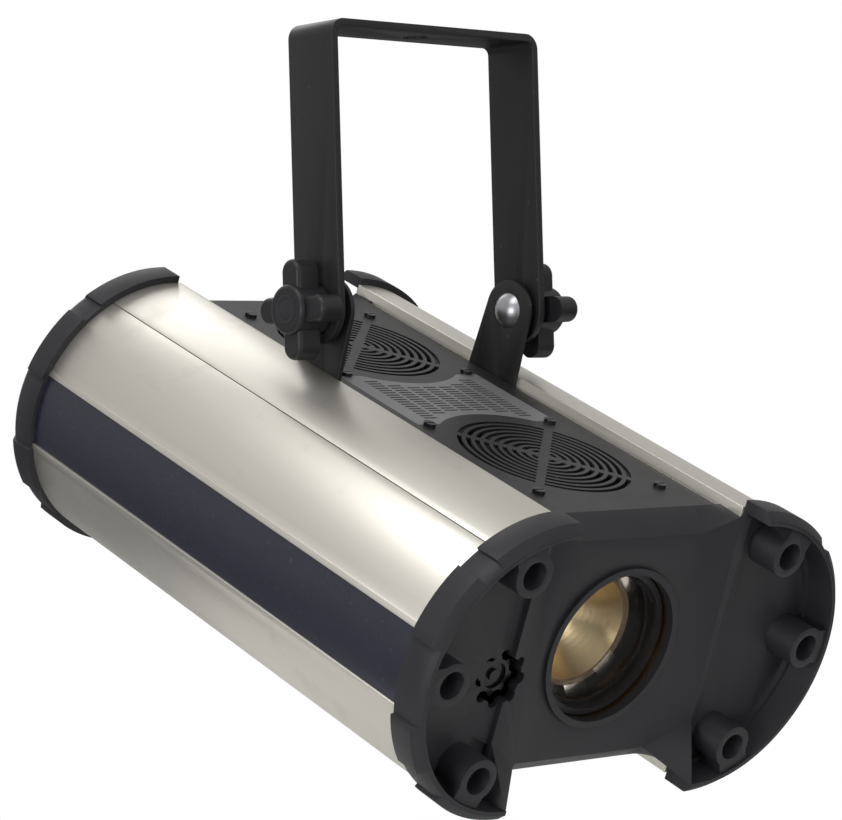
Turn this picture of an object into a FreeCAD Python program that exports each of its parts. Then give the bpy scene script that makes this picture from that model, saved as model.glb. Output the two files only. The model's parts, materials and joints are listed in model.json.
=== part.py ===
"""Yoke-hung stage spot: twin half-round aluminium body, moulded end caps, clamped yoke.

Built in head axes (x to the right seen from the lens, y rearward, z up, origin in the middle
of the body) and then tilted into the hung frame, whose origin is the yoke's hanging hole.
Every length is in millimetres.
"""
import FreeCAD, Part
import math
import os

V = FreeCAD.Vector
X_AXIS = V(1, 0, 0)
Y_AXIS = V(0, 1, 0)
Z_AXIS = V(0, 0, 1)
ORIGIN = V(0, 0, 0)

# ---- overall ----
BODY_LENGTH = 307.0          # aluminium side profiles, end to end
LOBE_OFFSET = 63.5           # centre of each half-round side from the middle
PROFILE_RADIUS = 72.6
PROFILE_WALL = 2.0
HEAD_TILT = 23.5             # nose-down angle at rest, degrees
PIVOT_BEHIND_MIDDLE = 34.0
PIVOT_ABOVE_PLATE = 35.0     # tilt pivot above the top plate

# ---- side profiles ----
SEAM_ANGLE = 57.0            # joint between upper and side extrusions, degrees above level
STRIP_TOP_ANGLE = 16.4
STRIP_BOTTOM_ANGLE = -13.7
STRIP_THICKNESS = 0.8
STRIP_RECESS = 1.4
STRIP_BEAD = 0.5
BEAD_ANGLE = 2.4
SEAM_GAP = 0.35
SEAM_TONGUE = 1.5
TONGUE_ANGLE = 3.0
CHANNEL_HALF_WIDTH = 62.0    # inner edge of each profile at the top and the bottom channel
LEDGE_WIDTH = 8.0
LEDGE_THICKNESS = 2.0
RAIL_DROP = 13.0             # from the plates' faces to the foot of the rail behind the ears
PORT_SET_IN = 15.6           # circle of the screw ports, inside the profile
PORT_ANGLES = (-66.0, 0.0, 66.0)
PORT_OUTER = 4.2
PORT_WEB = 2.0

# ---- channel plates ----
PLATE_SUNK = 4.6             # plates' outer faces below the top of the profiles
PLATE_THICKNESS = 1.5
PLATE_END_INSET = 14.0       # from the profile's end to the plate's end
PLATE_SIDE_GAP = 3.5
GRILLE_OFFSET = 75.0         # grille centres from the middle
GRILLE_MARGIN = 1.5          # grille beyond half the fan's side
GRILLE_HUB = 5.0
RING_PITCH = 4.6
RING_SLOT = 2.5
SPOKE_WIDTH = 4.4
SPOKE_ANGLES = (45.0, 135.0, 225.0, 315.0)
SCREEN_HALF_X = 47.0
SCREEN_OVER_FAN = 3.0        # screen's reach over each fan's edge
SCREEN_OFF_GRILLE = 6.5      # screen edge outside each grille
SCREEN_THICKNESS = 1.0
SCREEN_LAP = 2.0
SCREEN_SLOT = (8.6, 1.5)
SCREEN_PITCH = (10.8, 3.0)
VENT_SLOT = (40.0, 3.0)
VENT_PITCH = 8.0
VENT_COUNT = 9

# ---- moulded end caps ----
CAP_DEPTH = 18.0
CAP_PROUD_HIGH = 3.6         # raised lengths of the rim beyond the profile
CAP_PROUD_LOW = 1.8
CAP_RIM_SET_IN = 2.6
CAP_CHAMFER = 4.0
CAP_LAND = 2.2
CAP_SPIGOT_SET_IN = 5.1
CAP_SPIGOT_CLEARANCE = 0.3
CAP_SPIGOT_DEPTH = 4.0
CAP_FLOOR_SET_BACK = 1.0
CAP_WALL = 3.0
RAISED_SEGMENTS = ((-90.0, -53.0), (-37.0, -16.0), (14.5, 43.0), (52.0, 90.0))
NECK_HALF_WIDTH = 43.0
NECK_BELOW_PLATE = 10.0      # flat of the neck, below the plates' faces
NECK_SET_BACK = 3.0
FACET_EDGE = 68.7
FACET_EDGE_BELOW = 2.1       # top of the slanted bands, inside the profile
FACET_FORWARD = 2.0
BOSS_RADIUS = 11.0
BOSS_ARM = 18.0
BOSS_FACE_SET_BACK = 1.0
COUNTERBORE_RADIUS = 7.0
COUNTERBORE_DEPTH = 11.0
GUSSET_RISE = 18.0           # height of the corner gusset above the neck's foot
DRAIN_SLOT = (24.0, 7.0)
DRAIN_TURN = 25.0
DRAIN_PLACE = (-5.5, -47.5)  # from the left lobe's axis
HEX_KEY_SHARE = 0.5
HEX_KEY_DEPTH = 0.6
FIT_CLEARANCE = 0.2

# ---- fasteners ----
CAP_SCREW_SHANK = 2.0
CAP_SCREW_HEAD = 4.2
CAP_SCREW_HEAD_DEPTH = 3.0
CAP_SCREW_LENGTH = 24.0
THREAD_PLAY = 0.05
SMALL_SCREW_SHANK = 1.5
SMALL_SCREW_HEAD = 3.2
SMALL_SCREW_HEAD_DEPTH = 1.8
SMALL_SCREW_LENGTH = 9.0
SCREW_SLOT_WIDTH = 0.8

# ---- tilt ears, bolts and clamp knobs ----
EAR_THICKNESS = 2.5
EAR_TOP_RADIUS = 16.0
EAR_BASE_HALF = 18.0
EAR_FOOT_DROP = 17.0         # from the foot of the rail to the foot of the ear
EAR_FOOT_WIDTH = 20.0
EAR_SCREW_SPACING = 22.0
BOLT_RADIUS = 4.0
BOLT_RUNNING_GAP = 0.05
BOLT_DOME_RADIUS = 9.2
BOLT_DOME_HEIGHT = 4.8
BOLT_REACH = 16.0            # thread inside the knob
SPACER_RADIUS = 11.0
WASHER_RADIUS = 9.0
WASHER_THICKNESS = 1.4
FACE_GAP = 0.1               # between faces that turn on each other
KNOB_ARM_REACH = 25.0
KNOB_ARM_WIDTH = 13.5
KNOB_ARM_THICKNESS = 13.0
KNOB_HUB_RADIUS = 12.5
KNOB_HUB_HEIGHT = 19.0
KNOB_SKIRT = 3.0
KNOB_ROUND = 2.5

# ---- yoke ----
YOKE_HALF_WIDTH = 70.5
YOKE_THICKNESS = 4.0
YOKE_STRAP = 34.0
YOKE_RISE = 143.6            # pivot to the top face
YOKE_BEND = 8.0
HANG_HOLE_RADIUS = 6.5

# ---- lens group ----
APERTURE_RADIUS = 38.9
LENS_RING_OUTER = 42.3
LENS_RING_PROUD = 1.5
BARREL_WALL = 1.5
BARREL_FLANGE = 3.5
BARREL_LENGTH = 36.0
LENS_RADIUS = 35.5
LENS_EDGE = 3.0
LENS_CROWN = 6.0
CELL_CLEARANCE = 0.4
CELL_LENGTH = 7.0
CELL_LIP = 1.5
CELL_SEAT = 2.0
CELL_SET_BACK = 2.5          # behind the neck's rear face at rest
FOCUS_X = -72.0
FOCUS_Z = -9.5
FOCUS_SPINDLE_RADIUS = 3.0
FOCUS_KNOB_RADIUS = 10.5
FOCUS_KNOB_TEETH = 8
FOCUS_KNOB_TOOTH = 0.18      # tooth radius as a share of the knob's
FOCUS_KNOB_LENGTH = 5.5
FOCUS_KNOB_SUNK = 3.5
FOCUS_KNOB_DIMPLE = 1.5
FOCUS_WELL_CLEARANCE = 1.6
SCALLOP_SPREAD = 1.6         # pitch of the well's scallops over half their width
FOCUS_NUT_WALL = 4.0
SPINDLE_TAB = 8.0
CELL_ARM_HEIGHT = 9.0
CELL_ARM_THICKNESS = 3.0

# ---- gate dish and wheels ----
DISH_RADIUS = 28.0
DISH_DEPTH = 21.0
DISH_WALL = 1.0
DISH_CURVE = 1.6
DISH_STEPS = 10
DISH_RING_WIDTH = 2.0
DISH_RING_LAP = 0.5
DISH_RING_THICKNESS = 1.5
DISH_RIM_BEHIND_NECK = 25.0
DISH_HOLE = 9.0
BULKHEAD_THICKNESS = 1.5
BULKHEAD_HALF_WIDTH = 50.0
BULKHEAD_TOP = 40.0
CHASSIS_Z = -50.0
CHASSIS_HALF_WIDTH = 52.0
CHASSIS_THICKNESS = 1.5
CHASSIS_END_GAP = 2.0
WHEEL_OFFSET = 30.0
WHEEL_RADIUS = 40.0
WHEEL_THICKNESS = 1.5
WHEEL_HUB_RADIUS = 6.0
WHEEL_HOLE_RADIUS = 8.5
WHEEL_HOLES = 7
WHEEL_GAP = 4.0
PATTERN_SHARE = 0.9          # pattern apertures beside the open one
MOTOR_SIZE = 35.0
MOTOR_LENGTH = 22.0
MOTOR_SHAFT = 2.5
MOTOR_CORNER = 3.0
MOTOR_BOSS_RADIUS = 9.0
MOTOR_BOSS_HEIGHT = 1.5
BEAM_RADIUS = 11.0

# ---- lamp train ----
CONDENSER_RADIUS = 22.0
CONDENSER_LENGTH = 10.0
CONDENSER_EDGE = 2.5
CONDENSER_CROWN = 7.0
HOLDER_WALL = 3.0
HOLDER_FOOT = 8.0
TRAIN_GAP = 8.0              # between the bulkhead, the condenser and the heat glass
HEAT_GLASS_HALF = 26.0
HEAT_GLASS_TOP = 30.0
HEAT_GLASS_THICKNESS = 2.0
HEAT_GLASS_LIFT = 14.0       # foot of the glass above the tray
CLIP_HEIGHT = 18.0
CLIP_WALL = 2.0
CLIP_DEPTH = 3.0
LAMP_DISH_RADIUS = 30.0
LAMP_DISH_DEPTH = 26.0
LAMP_DISH_GAP = 14.0         # from the heat glass to the reflector's rim
LAMP_DISH_STEPS = 8
LAMP_DISH_WALL = 1.2
LAMP_COLLAR_WALL = 4.0
LAMP_COLLAR_DEPTH = 3.0
LAMP_GLASS_RADIUS = 6.5
LAMP_GLASS_LENGTH = 30.0
LAMP_NECK_GAP = 2.0
LAMP_PINCH = (12.0, 12.0, 5.0)
LAMP_PIN_RADIUS = 0.8
LAMP_PIN_OFFSET = 3.0
LAMP_PIN_LENGTH = 8.0
LAMP_SEAT = 2.0              # pinch behind the reflector's neck
SOCKET_RADIUS = 13.0
SOCKET_LENGTH = 18.0
CARRIER_TOP = 18.0
CARRIER_POST = 2.0
CARRIER_FRONT = 1.5
CARRIER_HALF_BACK = 16.0
CARRIER_HALF_FRONT = 34.0

# ---- fans ----
FAN_SIZE = 92.0
FAN_DEPTH = 20.0
FAN_DUCT_WALL = 3.0          # thinnest wall of the frame round its duct
FAN_TIP_GAP = 1.5
FAN_HUB_RADIUS = 17.0
FAN_SCREW_INSET = 4.75       # screws in from the frame's sides
FAN_BLADES = 7
FAN_STRUT = 5.0
FAN_STRUT_DEPTH = 2.5
FAN_CORNER = 6.0
FAN_PIN_RADIUS = 1.5
FAN_SCREW_DEPTH = 10.0
FAN_ROTOR_LIFT = 3.0         # rotor above the frame's lower face
BLADE_THICKNESS = 1.6
BLADE_PITCH = 55.0
BLADE_OVERRUN = 4.0
BLADE_TRIM = 0.5

# ---- electrical ----
CORE_SIZE = (76.0, 62.0, 50.0)
COIL_SIZE = (52.0, 78.0, 34.0)
TRANSFORMER_GAP = 10.0       # behind the lamp socket
BOARD_X = 96.0
BOARD_THICKNESS = 1.6
BOARD_HALF_Y = 80.0
BOARD_HALF_Z = 36.0
CHIP_SIZE = (4.0, 18.0, 16.0)
CHIP_START = -60.0
CHIP_PITCH = 34.0
CHIP_COUNT = 4
CAPACITOR_RADIUS = 5.0
CAPACITOR_HEIGHT = 14.0
CAPACITOR_Z = 22.0
POST_RADIUS = 3.0
POST_SHARE = 0.75            # posts along the board's half length
INLET_SIZE = (48.0, 22.0)
INLET_BODY = (27.0, 20.0)
INLET_POS = (-14.0, -38.0)
INLET_DEPTH = 18.0
INLET_WALL = 1.5
INLET_PIN_SUNK = 9.0
INLET_PIN = (2.0, 4.0)
INLET_PIN_SPOTS = ((-7.0, -2.0), (0.0, 2.0), (7.0, -2.0))
INLET_BACK_WALL = 6.0
PANEL_FLANGE = 2.0
SWITCH_SIZE = (21.0, 15.0)
SWITCH_WALL = 2.0
SWITCH_LIP = 1.5
SWITCH_DEPTH = 18.0
SWITCH_HOLLOW = 12.0
ROCKER_GAP = (1.5, 0.4)      # beside the rocker along and across
ROCKER_BELOW = 3.0
ROCKER_HIGH = 3.6
ROCKER_LOW = 1.9
ROCKER_PIN_REACH = 1.2
ROCKER_HOLE_REACH = 1.5
ROCKER_PIN_RADIUS = 1.1
ROCKER_PIVOT_DEPTH = 1.0
SWITCH_POS = (27.0, -38.0)
FUSE_POS = (0.0, -12.0)
FUSE_RADIUS = 7.0
FUSE_LENGTH = 24.0
FUSE_CAP = (1.2, 5.0)        # beyond the carrier's radius, and height
FUSE_SLOT = (1.6, 1.5)
SOCKET_POS = ((-22.0, 22.0), (22.0, 22.0))
DATA_SOCKET_RADIUS = 11.5
DATA_FLANGE = 26.0
DATA_DEPTH = 18.0
DATA_FACE_SUNK = 1.5
DATA_RIM = 2.0
DATA_HOLE = (4.0, 1.1, 7.0)  # circle, radius and depth of the contact holes
DATA_HOLE_ANGLES = (-90.0, 30.0, 150.0)
SAFETY_EYE_Z = 46.0
SAFETY_EYE_HOLE = 5.0
SAFETY_EYE_OUTER = 8.5
SAFETY_EYE_THICKNESS = 3.0

# ---- derived ----
HALF_LENGTH = BODY_LENGTH / 2
FAN_DUCT_RADIUS = FAN_SIZE / 2 - FAN_DUCT_WALL
FAN_ROTOR_RADIUS = FAN_DUCT_RADIUS - FAN_TIP_GAP
FAN_SCREW_SPACING = FAN_SIZE - 2 * FAN_SCREW_INSET
GRILLE_RADIUS = FAN_SIZE / 2 + GRILLE_MARGIN
SCREEN_HALF_Y = GRILLE_OFFSET - FAN_SIZE / 2 + SCREEN_OVER_FAN
SCREEN_KEEP_OFF = GRILLE_RADIUS + SCREEN_OFF_GRILLE
PROFILE_INNER = PROFILE_RADIUS - PROFILE_WALL
PLATE_Z = PROFILE_RADIUS - PLATE_SUNK
RAIL_FOOT_Z = PLATE_Z - RAIL_DROP
EAR_FOOT_Z = RAIL_FOOT_Z - EAR_FOOT_DROP
PIVOT_HEIGHT = PLATE_Z + PIVOT_ABOVE_PLATE
PORT_RADIUS = PROFILE_RADIUS - PORT_SET_IN
CAP_RADIUS_HIGH = PROFILE_RADIUS + CAP_PROUD_HIGH
CAP_RADIUS_LOW = PROFILE_RADIUS + CAP_PROUD_LOW
CAP_RIM_INNER = PROFILE_RADIUS - CAP_RIM_SET_IN
CAP_SPIGOT_INNER = PROFILE_RADIUS - CAP_SPIGOT_SET_IN
NECK_HALF_HEIGHT = PLATE_Z - NECK_BELOW_PLATE
FACET_EDGE_HEIGHT = PROFILE_RADIUS - FACET_EDGE_BELOW
PLATE_UNDER = PLATE_Z - PLATE_THICKNESS
PLATE_HALF_WIDTH = CHANNEL_HALF_WIDTH - PLATE_SIDE_GAP
PLATE_HALF_LENGTH = HALF_LENGTH - PLATE_END_INSET
CAP_FRONT = -HALF_LENGTH - CAP_DEPTH
NECK_FACE = -HALF_LENGTH + NECK_SET_BACK
NECK_REAR = NECK_FACE + CAP_WALL
CAP_FLOOR = -HALF_LENGTH + CAP_FLOOR_SET_BACK
PORT_START = -HALF_LENGTH + CAP_SPIGOT_DEPTH
YOKE_INNER = YOKE_HALF_WIDTH - YOKE_THICKNESS
EAR_OUTER_X = CHANNEL_HALF_WIDTH
EAR_INNER_X = EAR_OUTER_X - EAR_THICKNESS
KNOB_X = YOKE_HALF_WIDTH + WASHER_THICKNESS + FACE_GAP
DISH_RIM_Y = NECK_FACE + DISH_RIM_BEHIND_NECK - NECK_SET_BACK
BULKHEAD_Y = DISH_RIM_Y + DISH_DEPTH + DISH_WALL
GOBO_Y = BULKHEAD_Y + BULKHEAD_THICKNESS + WHEEL_GAP
COLOUR_Y = GOBO_Y + WHEEL_THICKNESS + WHEEL_GAP
MOTOR_Y = COLOUR_Y + WHEEL_THICKNESS + WHEEL_GAP
BRACKET_Y = MOTOR_Y + MOTOR_LENGTH
CONDENSER_Y = BRACKET_Y + BULKHEAD_THICKNESS + TRAIN_GAP
FILTER_Y = CONDENSER_Y + CONDENSER_LENGTH + TRAIN_GAP
LAMP_DISH_Y = FILTER_Y + LAMP_DISH_GAP
LAMP_Y = LAMP_DISH_Y + LAMP_DISH_DEPTH
CELL_Y = NECK_REAR + CELL_SET_BACK
SOCKET_END = LAMP_Y + LAMP_SEAT + SOCKET_LENGTH
TRANSFORMER_Y = SOCKET_END + TRANSFORMER_GAP


# ---- small helpers ----
def box(x0, x1, y0, y1, z0, z1):
    """Block between two corners."""
    return Part.makeBox(x1 - x0, y1 - y0, z1 - z0, V(x0, y0, z0))


def rod(start, radius, length, axis):
    """Cylinder from a start point along an axis."""
    return Part.makeCylinder(radius, length, start, axis)


def tube(start, outer, inner, length, axis):
    """Plain tube from a start point along an axis."""
    return rod(start, outer, length, axis).cut(rod(start, inner, length, axis))


def fuse(shapes):
    """One solid from overlapping shapes."""
    return shapes[0].fuse(list(shapes[1:])).removeSplitter()


def prism(points, direction):
    """Closed outline of points pushed along a direction."""
    wire = Part.makePolygon(points + [points[0]])
    return Part.Face(wire).extrude(direction)


def polar(radius, angle, y=0.0, centre_x=LOBE_OFFSET):
    """Point on a circle about a lobe's axis; angle in degrees above level."""
    turn = math.radians(angle)
    return V(centre_x + radius * math.cos(turn), y, radius * math.sin(turn))


def lobe_sector(inner, outer, low, high, y0, y1):
    """Curved wall about the right lobe's axis between two angles."""
    middle = (low + high) / 2
    edges = [Part.Arc(polar(outer, low, y0), polar(outer, middle, y0), polar(outer, high, y0)).toShape()]
    edges.append(Part.makeLine(polar(outer, high, y0), polar(inner, high, y0)))
    inner_arc = Part.Arc(polar(inner, high, y0), polar(inner, middle, y0), polar(inner, low, y0))
    edges.append(inner_arc.toShape())
    edges.append(Part.makeLine(polar(inner, low, y0), polar(outer, low, y0)))
    return Part.Face(Part.Wire(edges)).extrude(V(0, y1 - y0, 0))


def lobe_turn(outline, low, high):
    """Outline of (radius, y) points turned about the right lobe's axis between two angles."""
    points = [V(LOBE_OFFSET + radius, y, 0) for radius, y in outline]
    face = Part.Face(Part.makePolygon(points + [points[0]]))
    centre = V(LOBE_OFFSET, 0, 0)
    face.rotate(centre, -Y_AXIS, low)
    return face.revolve(centre, -Y_AXIS, high - low)


def turned(outline, centre):
    """Solid of revolution about Y through a centre, from (radius, y) points."""
    points = [V(centre.x + radius, y, centre.z) for radius, y in outline]
    face = Part.Face(Part.makePolygon(points + [points[0]]))
    return face.revolve(centre, Y_AXIS, 360)


def plano_convex(flat_y, radius, edge, crown, outward):
    """Lens about the body's axis: flat face at flat_y, edge band, dome towards outward along y."""
    rim_y = flat_y + outward * edge
    top_y = rim_y + outward * crown
    sphere_radius = (radius ** 2 + crown ** 2) / (2 * crown)
    half = radius / 2
    half_y = top_y - outward * (sphere_radius - math.sqrt(sphere_radius ** 2 - half ** 2))
    edges = [Part.makeLine(V(0, flat_y, 0), V(radius, flat_y, 0)),
             Part.makeLine(V(radius, flat_y, 0), V(radius, rim_y, 0)),
             Part.Arc(V(radius, rim_y, 0), V(half, half_y, 0), V(0, top_y, 0)).toShape(),
             Part.makeLine(V(0, top_y, 0), V(0, flat_y, 0))]
    return Part.Face(Part.Wire(edges)).revolve(ORIGIN, Y_AXIS, 360)


def mirrored_x(shape):
    """The same piece on the other side."""
    return shape.mirror(ORIGIN, X_AXIS)


def half_turn(shape):
    """A front piece turned round to the rear."""
    copy = shape.copy()
    copy.rotate(ORIGIN, Z_AXIS, 180)
    return copy


def flipped(shape):
    """The same piece on the underside."""
    return shape.mirror(ORIGIN, Z_AXIS)


# ---- side profiles ----
def channel_edge():
    """Upright lip and inward ledge at the top of the right profile."""
    x0, x1 = CHANNEL_HALF_WIDTH, CHANNEL_HALF_WIDTH + PROFILE_WALL
    lip = box(x0, x1, -HALF_LENGTH, HALF_LENGTH, PLATE_UNDER - LEDGE_THICKNESS, PROFILE_RADIUS)
    reach = PLATE_HALF_LENGTH - FIT_CLEARANCE
    rail = box(x0, x1, -reach, reach, RAIL_FOOT_Z, PLATE_UNDER)
    ledge = box(CHANNEL_HALF_WIDTH - LEDGE_WIDTH, CHANNEL_HALF_WIDTH + PROFILE_WALL, -reach, reach,
                PLATE_UNDER - LEDGE_THICKNESS, PLATE_UNDER)
    return [lip, rail, ledge]


def screw_port(angle, wall_inner):
    """Extruded screw port with its web to the wall."""
    low = PORT_START
    length = -2 * low
    port = rod(polar(PORT_RADIUS, angle, low), PORT_OUTER, length, Y_AXIS)
    half_web = PORT_WEB / 2
    web = box(LOBE_OFFSET + PORT_RADIUS, LOBE_OFFSET + wall_inner + PROFILE_WALL / 2,
              low, low + length, -half_web, half_web)
    web.rotate(V(LOBE_OFFSET, 0, 0), -Y_AXIS, angle)
    return [port, web]


def port_bores():
    """Tapped bores of all ports of the right side."""
    length = BODY_LENGTH
    return [rod(polar(PORT_RADIUS, angle, -HALF_LENGTH), CAP_SCREW_SHANK + THREAD_PLAY, length, Y_AXIS)
            for angle in PORT_ANGLES]


def ear_notch():
    """Space that the tilt ear takes in the ledge."""
    half = EAR_BASE_HALF + FIT_CLEARANCE
    return box(EAR_INNER_X - FIT_CLEARANCE, CHANNEL_HALF_WIDTH, PIVOT_BEHIND_MIDDLE - half,
               PIVOT_BEHIND_MIDDLE + half, PLATE_UNDER - LEDGE_THICKNESS, PLATE_UNDER)


def ear_screw_points():
    """Places of the screws that hold an ear to the rail, as (y, z)."""
    z = (RAIL_FOOT_Z + PLATE_UNDER - LEDGE_THICKNESS) / 2
    return [(PIVOT_BEHIND_MIDDLE + side * EAR_SCREW_SPACING / 2, z) for side in (-1, 1)]


def ear_screw_holes():
    """Tapped holes through the right ear and the rail."""
    radius = SMALL_SCREW_SHANK + THREAD_PLAY
    length = EAR_THICKNESS + PROFILE_WALL
    return [rod(V(EAR_INNER_X, y, z), radius, length, X_AXIS) for y, z in ear_screw_points()]


def ear_screws():
    """Screws from inside through the right ear into the rail."""
    screws = []
    for y, z in ear_screw_points():
        head = rod(V(EAR_INNER_X - SMALL_SCREW_HEAD_DEPTH, y, z), SMALL_SCREW_HEAD,
                   SMALL_SCREW_HEAD_DEPTH, X_AXIS)
        shank = rod(V(EAR_INNER_X, y, z), SMALL_SCREW_SHANK, EAR_THICKNESS + PROFILE_WALL, X_AXIS)
        screws.append(fuse([head, shank]))
    return screws


def upper_profile():
    """Right upper extrusion, from the channel edge to the seam."""
    wall = lobe_sector(PROFILE_INNER, PROFILE_RADIUS, SEAM_ANGLE + SEAM_GAP, 90, -HALF_LENGTH, HALF_LENGTH)
    solid = fuse([wall] + channel_edge() + screw_port(PORT_ANGLES[2], PROFILE_INNER))
    return solid.cut(port_bores() + [ear_notch()] + ear_screw_holes())


def side_profile():
    """Right side extrusion with the strip recess, down to the bottom channel edge."""
    y0, y1 = -HALF_LENGTH, HALF_LENGTH
    recess_outer = PROFILE_RADIUS - STRIP_RECESS
    recess_inner = recess_outer - PROFILE_WALL
    parts = [lobe_sector(PROFILE_INNER, PROFILE_RADIUS, STRIP_TOP_ANGLE, SEAM_ANGLE, y0, y1)]
    parts.append(lobe_sector(PROFILE_INNER, PROFILE_RADIUS, -90, STRIP_BOTTOM_ANGLE, y0, y1))
    low, high = STRIP_BOTTOM_ANGLE, STRIP_TOP_ANGLE
    parts.append(lobe_sector(recess_inner, recess_outer, low - BEAD_ANGLE, high + BEAD_ANGLE, y0, y1))
    bead = PROFILE_RADIUS + STRIP_BEAD
    parts.append(lobe_sector(recess_inner, bead, high, high + BEAD_ANGLE, y0, y1))
    parts.append(lobe_sector(recess_inner, bead, low - BEAD_ANGLE, low, y0, y1))
    tongue_inner = PROFILE_INNER - SEAM_TONGUE
    reach = -PORT_START
    parts.append(lobe_sector(tongue_inner, PROFILE_INNER, SEAM_ANGLE - TONGUE_ANGLE,
                             SEAM_ANGLE + TONGUE_ANGLE, -reach, reach))
    parts.append(lobe_sector(PROFILE_INNER - PROFILE_WALL / 2, PROFILE_INNER + PROFILE_WALL / 2,
                             SEAM_ANGLE - TONGUE_ANGLE, SEAM_ANGLE, -reach, reach))
    parts += [flipped(shape) for shape in channel_edge()]
    parts += screw_port(PORT_ANGLES[0], PROFILE_INNER) + screw_port(PORT_ANGLES[1], recess_inner)
    return fuse(parts).cut(port_bores())


def trim_strip():
    """Dark inlay that lies in the strip recess."""
    seat = PROFILE_RADIUS - STRIP_RECESS
    return lobe_sector(seat, seat + STRIP_THICKNESS, STRIP_BOTTOM_ANGLE, STRIP_TOP_ANGLE,
                       -HALF_LENGTH, HALF_LENGTH)


# ---- channel plates ----
def ring_slot(centre_y, inner, outer, low, high):
    """One curved slot of a fan grille, as a cutter through the plate."""
    middle = math.radians((low + high) / 2)
    low, high = math.radians(low), math.radians(high)

    def spot(radius, angle):
        return V(radius * math.cos(angle), centre_y + radius * math.sin(angle), PLATE_UNDER)

    edges = [Part.Arc(spot(outer, low), spot(outer, middle), spot(outer, high)).toShape()]
    edges.append(Part.makeLine(spot(outer, high), spot(inner, high)))
    edges.append(Part.Arc(spot(inner, high), spot(inner, middle), spot(inner, low)).toShape())
    edges.append(Part.makeLine(spot(inner, low), spot(outer, low)))
    return Part.Face(Part.Wire(edges)).extrude(V(0, 0, PLATE_THICKNESS))


def grille_slots(centre_y):
    """All curved slots of one grille, parted by its diagonal spokes."""
    slots = []
    inner = GRILLE_HUB
    while inner + RING_SLOT <= GRILLE_RADIUS:
        outer = inner + RING_SLOT
        gap = math.degrees(math.asin(SPOKE_WIDTH / 2 / inner))
        for spoke in SPOKE_ANGLES:
            slots.append(ring_slot(centre_y, inner, outer, spoke + gap, spoke + 90 - gap))
        inner += RING_PITCH
    return slots


def screen_outline(margin, z0, z1):
    """Middle area between the two grilles, shrunk by a margin."""
    block = box(-SCREEN_HALF_X + margin, SCREEN_HALF_X - margin, -SCREEN_HALF_Y + margin,
                SCREEN_HALF_Y - margin, z0, z1)
    keep_off = SCREEN_KEEP_OFF + margin
    rounds = [rod(V(0, side * GRILLE_OFFSET, z0), keep_off, z1 - z0, Z_AXIS) for side in (-1, 1)]
    return block.cut(rounds)


def fan_screw_points(centre_y):
    """Corner fixing points of a fan."""
    half = FAN_SCREW_SPACING / 2
    return [(sx * half, centre_y + sy * half) for sx in (-1, 1) for sy in (-1, 1)]


def plate_blank():
    """Channel plate before any hole is cut."""
    return box(-PLATE_HALF_WIDTH, PLATE_HALF_WIDTH, -PLATE_HALF_LENGTH, PLATE_HALF_LENGTH,
               PLATE_UNDER, PLATE_Z)


def top_plate():
    """Top plate with two fan grilles and the seat of the middle screen."""
    cutters = grille_slots(-GRILLE_OFFSET) + grille_slots(GRILLE_OFFSET)
    cutters.append(screen_outline(SCREEN_LAP, PLATE_UNDER, PLATE_Z))
    cutters.append(screen_outline(0, PLATE_Z - SCREEN_THICKNESS, PLATE_Z))
    for centre_y in (-GRILLE_OFFSET, GRILLE_OFFSET):
        for x, y in fan_screw_points(centre_y):
            hole = SMALL_SCREW_SHANK + THREAD_PLAY
            cutters.append(rod(V(x, y, PLATE_UNDER), hole, PLATE_THICKNESS, Z_AXIS))
    return plate_blank().cut(Part.makeCompound(cutters))


def vent_screen():
    """Finely slotted screen set flush between the grilles."""
    sheet = screen_outline(FIT_CLEARANCE / 2, PLATE_Z - SCREEN_THICKNESS, PLATE_Z)
    length, width = SCREEN_SLOT
    pitch_x, pitch_y = SCREEN_PITCH
    columns = int((SCREEN_HALF_X - SCREEN_LAP - length / 2) // pitch_x)
    rows = int((SCREEN_HALF_Y - SCREEN_LAP - width) // pitch_y)
    slots = []
    for row in range(-rows, rows + 1):
        for column in range(-columns, columns + 1):
            x, y = column * pitch_x, row * pitch_y
            corner = math.hypot(abs(x) + length / 2, GRILLE_OFFSET - abs(y) - width)
            nearest = math.hypot(max(abs(x) - length / 2, 0), GRILLE_OFFSET - abs(y) - width)
            if min(corner, nearest) > SCREEN_KEEP_OFF + SCREEN_LAP:
                slots.append(box(x - length / 2, x + length / 2, y - width / 2, y + width / 2,
                                 PLATE_Z - SCREEN_THICKNESS, PLATE_Z))
    return sheet.cut(Part.makeCompound(slots))


def bottom_plate():
    """Bottom plate with a field of straight vents under each fan."""
    length, width = VENT_SLOT
    cutters = []
    for side in (-1, 1):
        for index in range(VENT_COUNT):
            y = side * GRILLE_OFFSET + (index - (VENT_COUNT - 1) / 2) * VENT_PITCH
            cutters.append(box(-length / 2, length / 2, y - width / 2, y + width / 2, PLATE_UNDER, PLATE_Z))
    return flipped(plate_blank().cut(Part.makeCompound(cutters)))


# ---- end caps ----
def cap_rim():
    """Stepped half-round rim of the right lobe."""
    def outline(radius):
        return [(CAP_RIM_INNER, CAP_FRONT), (CAP_RIM_INNER + CAP_LAND, CAP_FRONT),
                (radius, CAP_FRONT + CAP_CHAMFER), (radius, -HALF_LENGTH), (CAP_RIM_INNER, -HALF_LENGTH)]

    pieces = [lobe_turn(outline(CAP_RADIUS_LOW), -90, 90)]
    pieces += [lobe_turn(outline(CAP_RADIUS_HIGH), low, high) for low, high in RAISED_SEGMENTS]
    spigot = PROFILE_INNER - CAP_SPIGOT_CLEARANCE
    pieces.append(lobe_turn([(CAP_SPIGOT_INNER, CAP_FLOOR - CAP_WALL), (spigot, CAP_FLOOR - CAP_WALL),
                             (spigot, PORT_START), (CAP_SPIGOT_INNER, PORT_START)], -90, 90))
    return pieces


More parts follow.
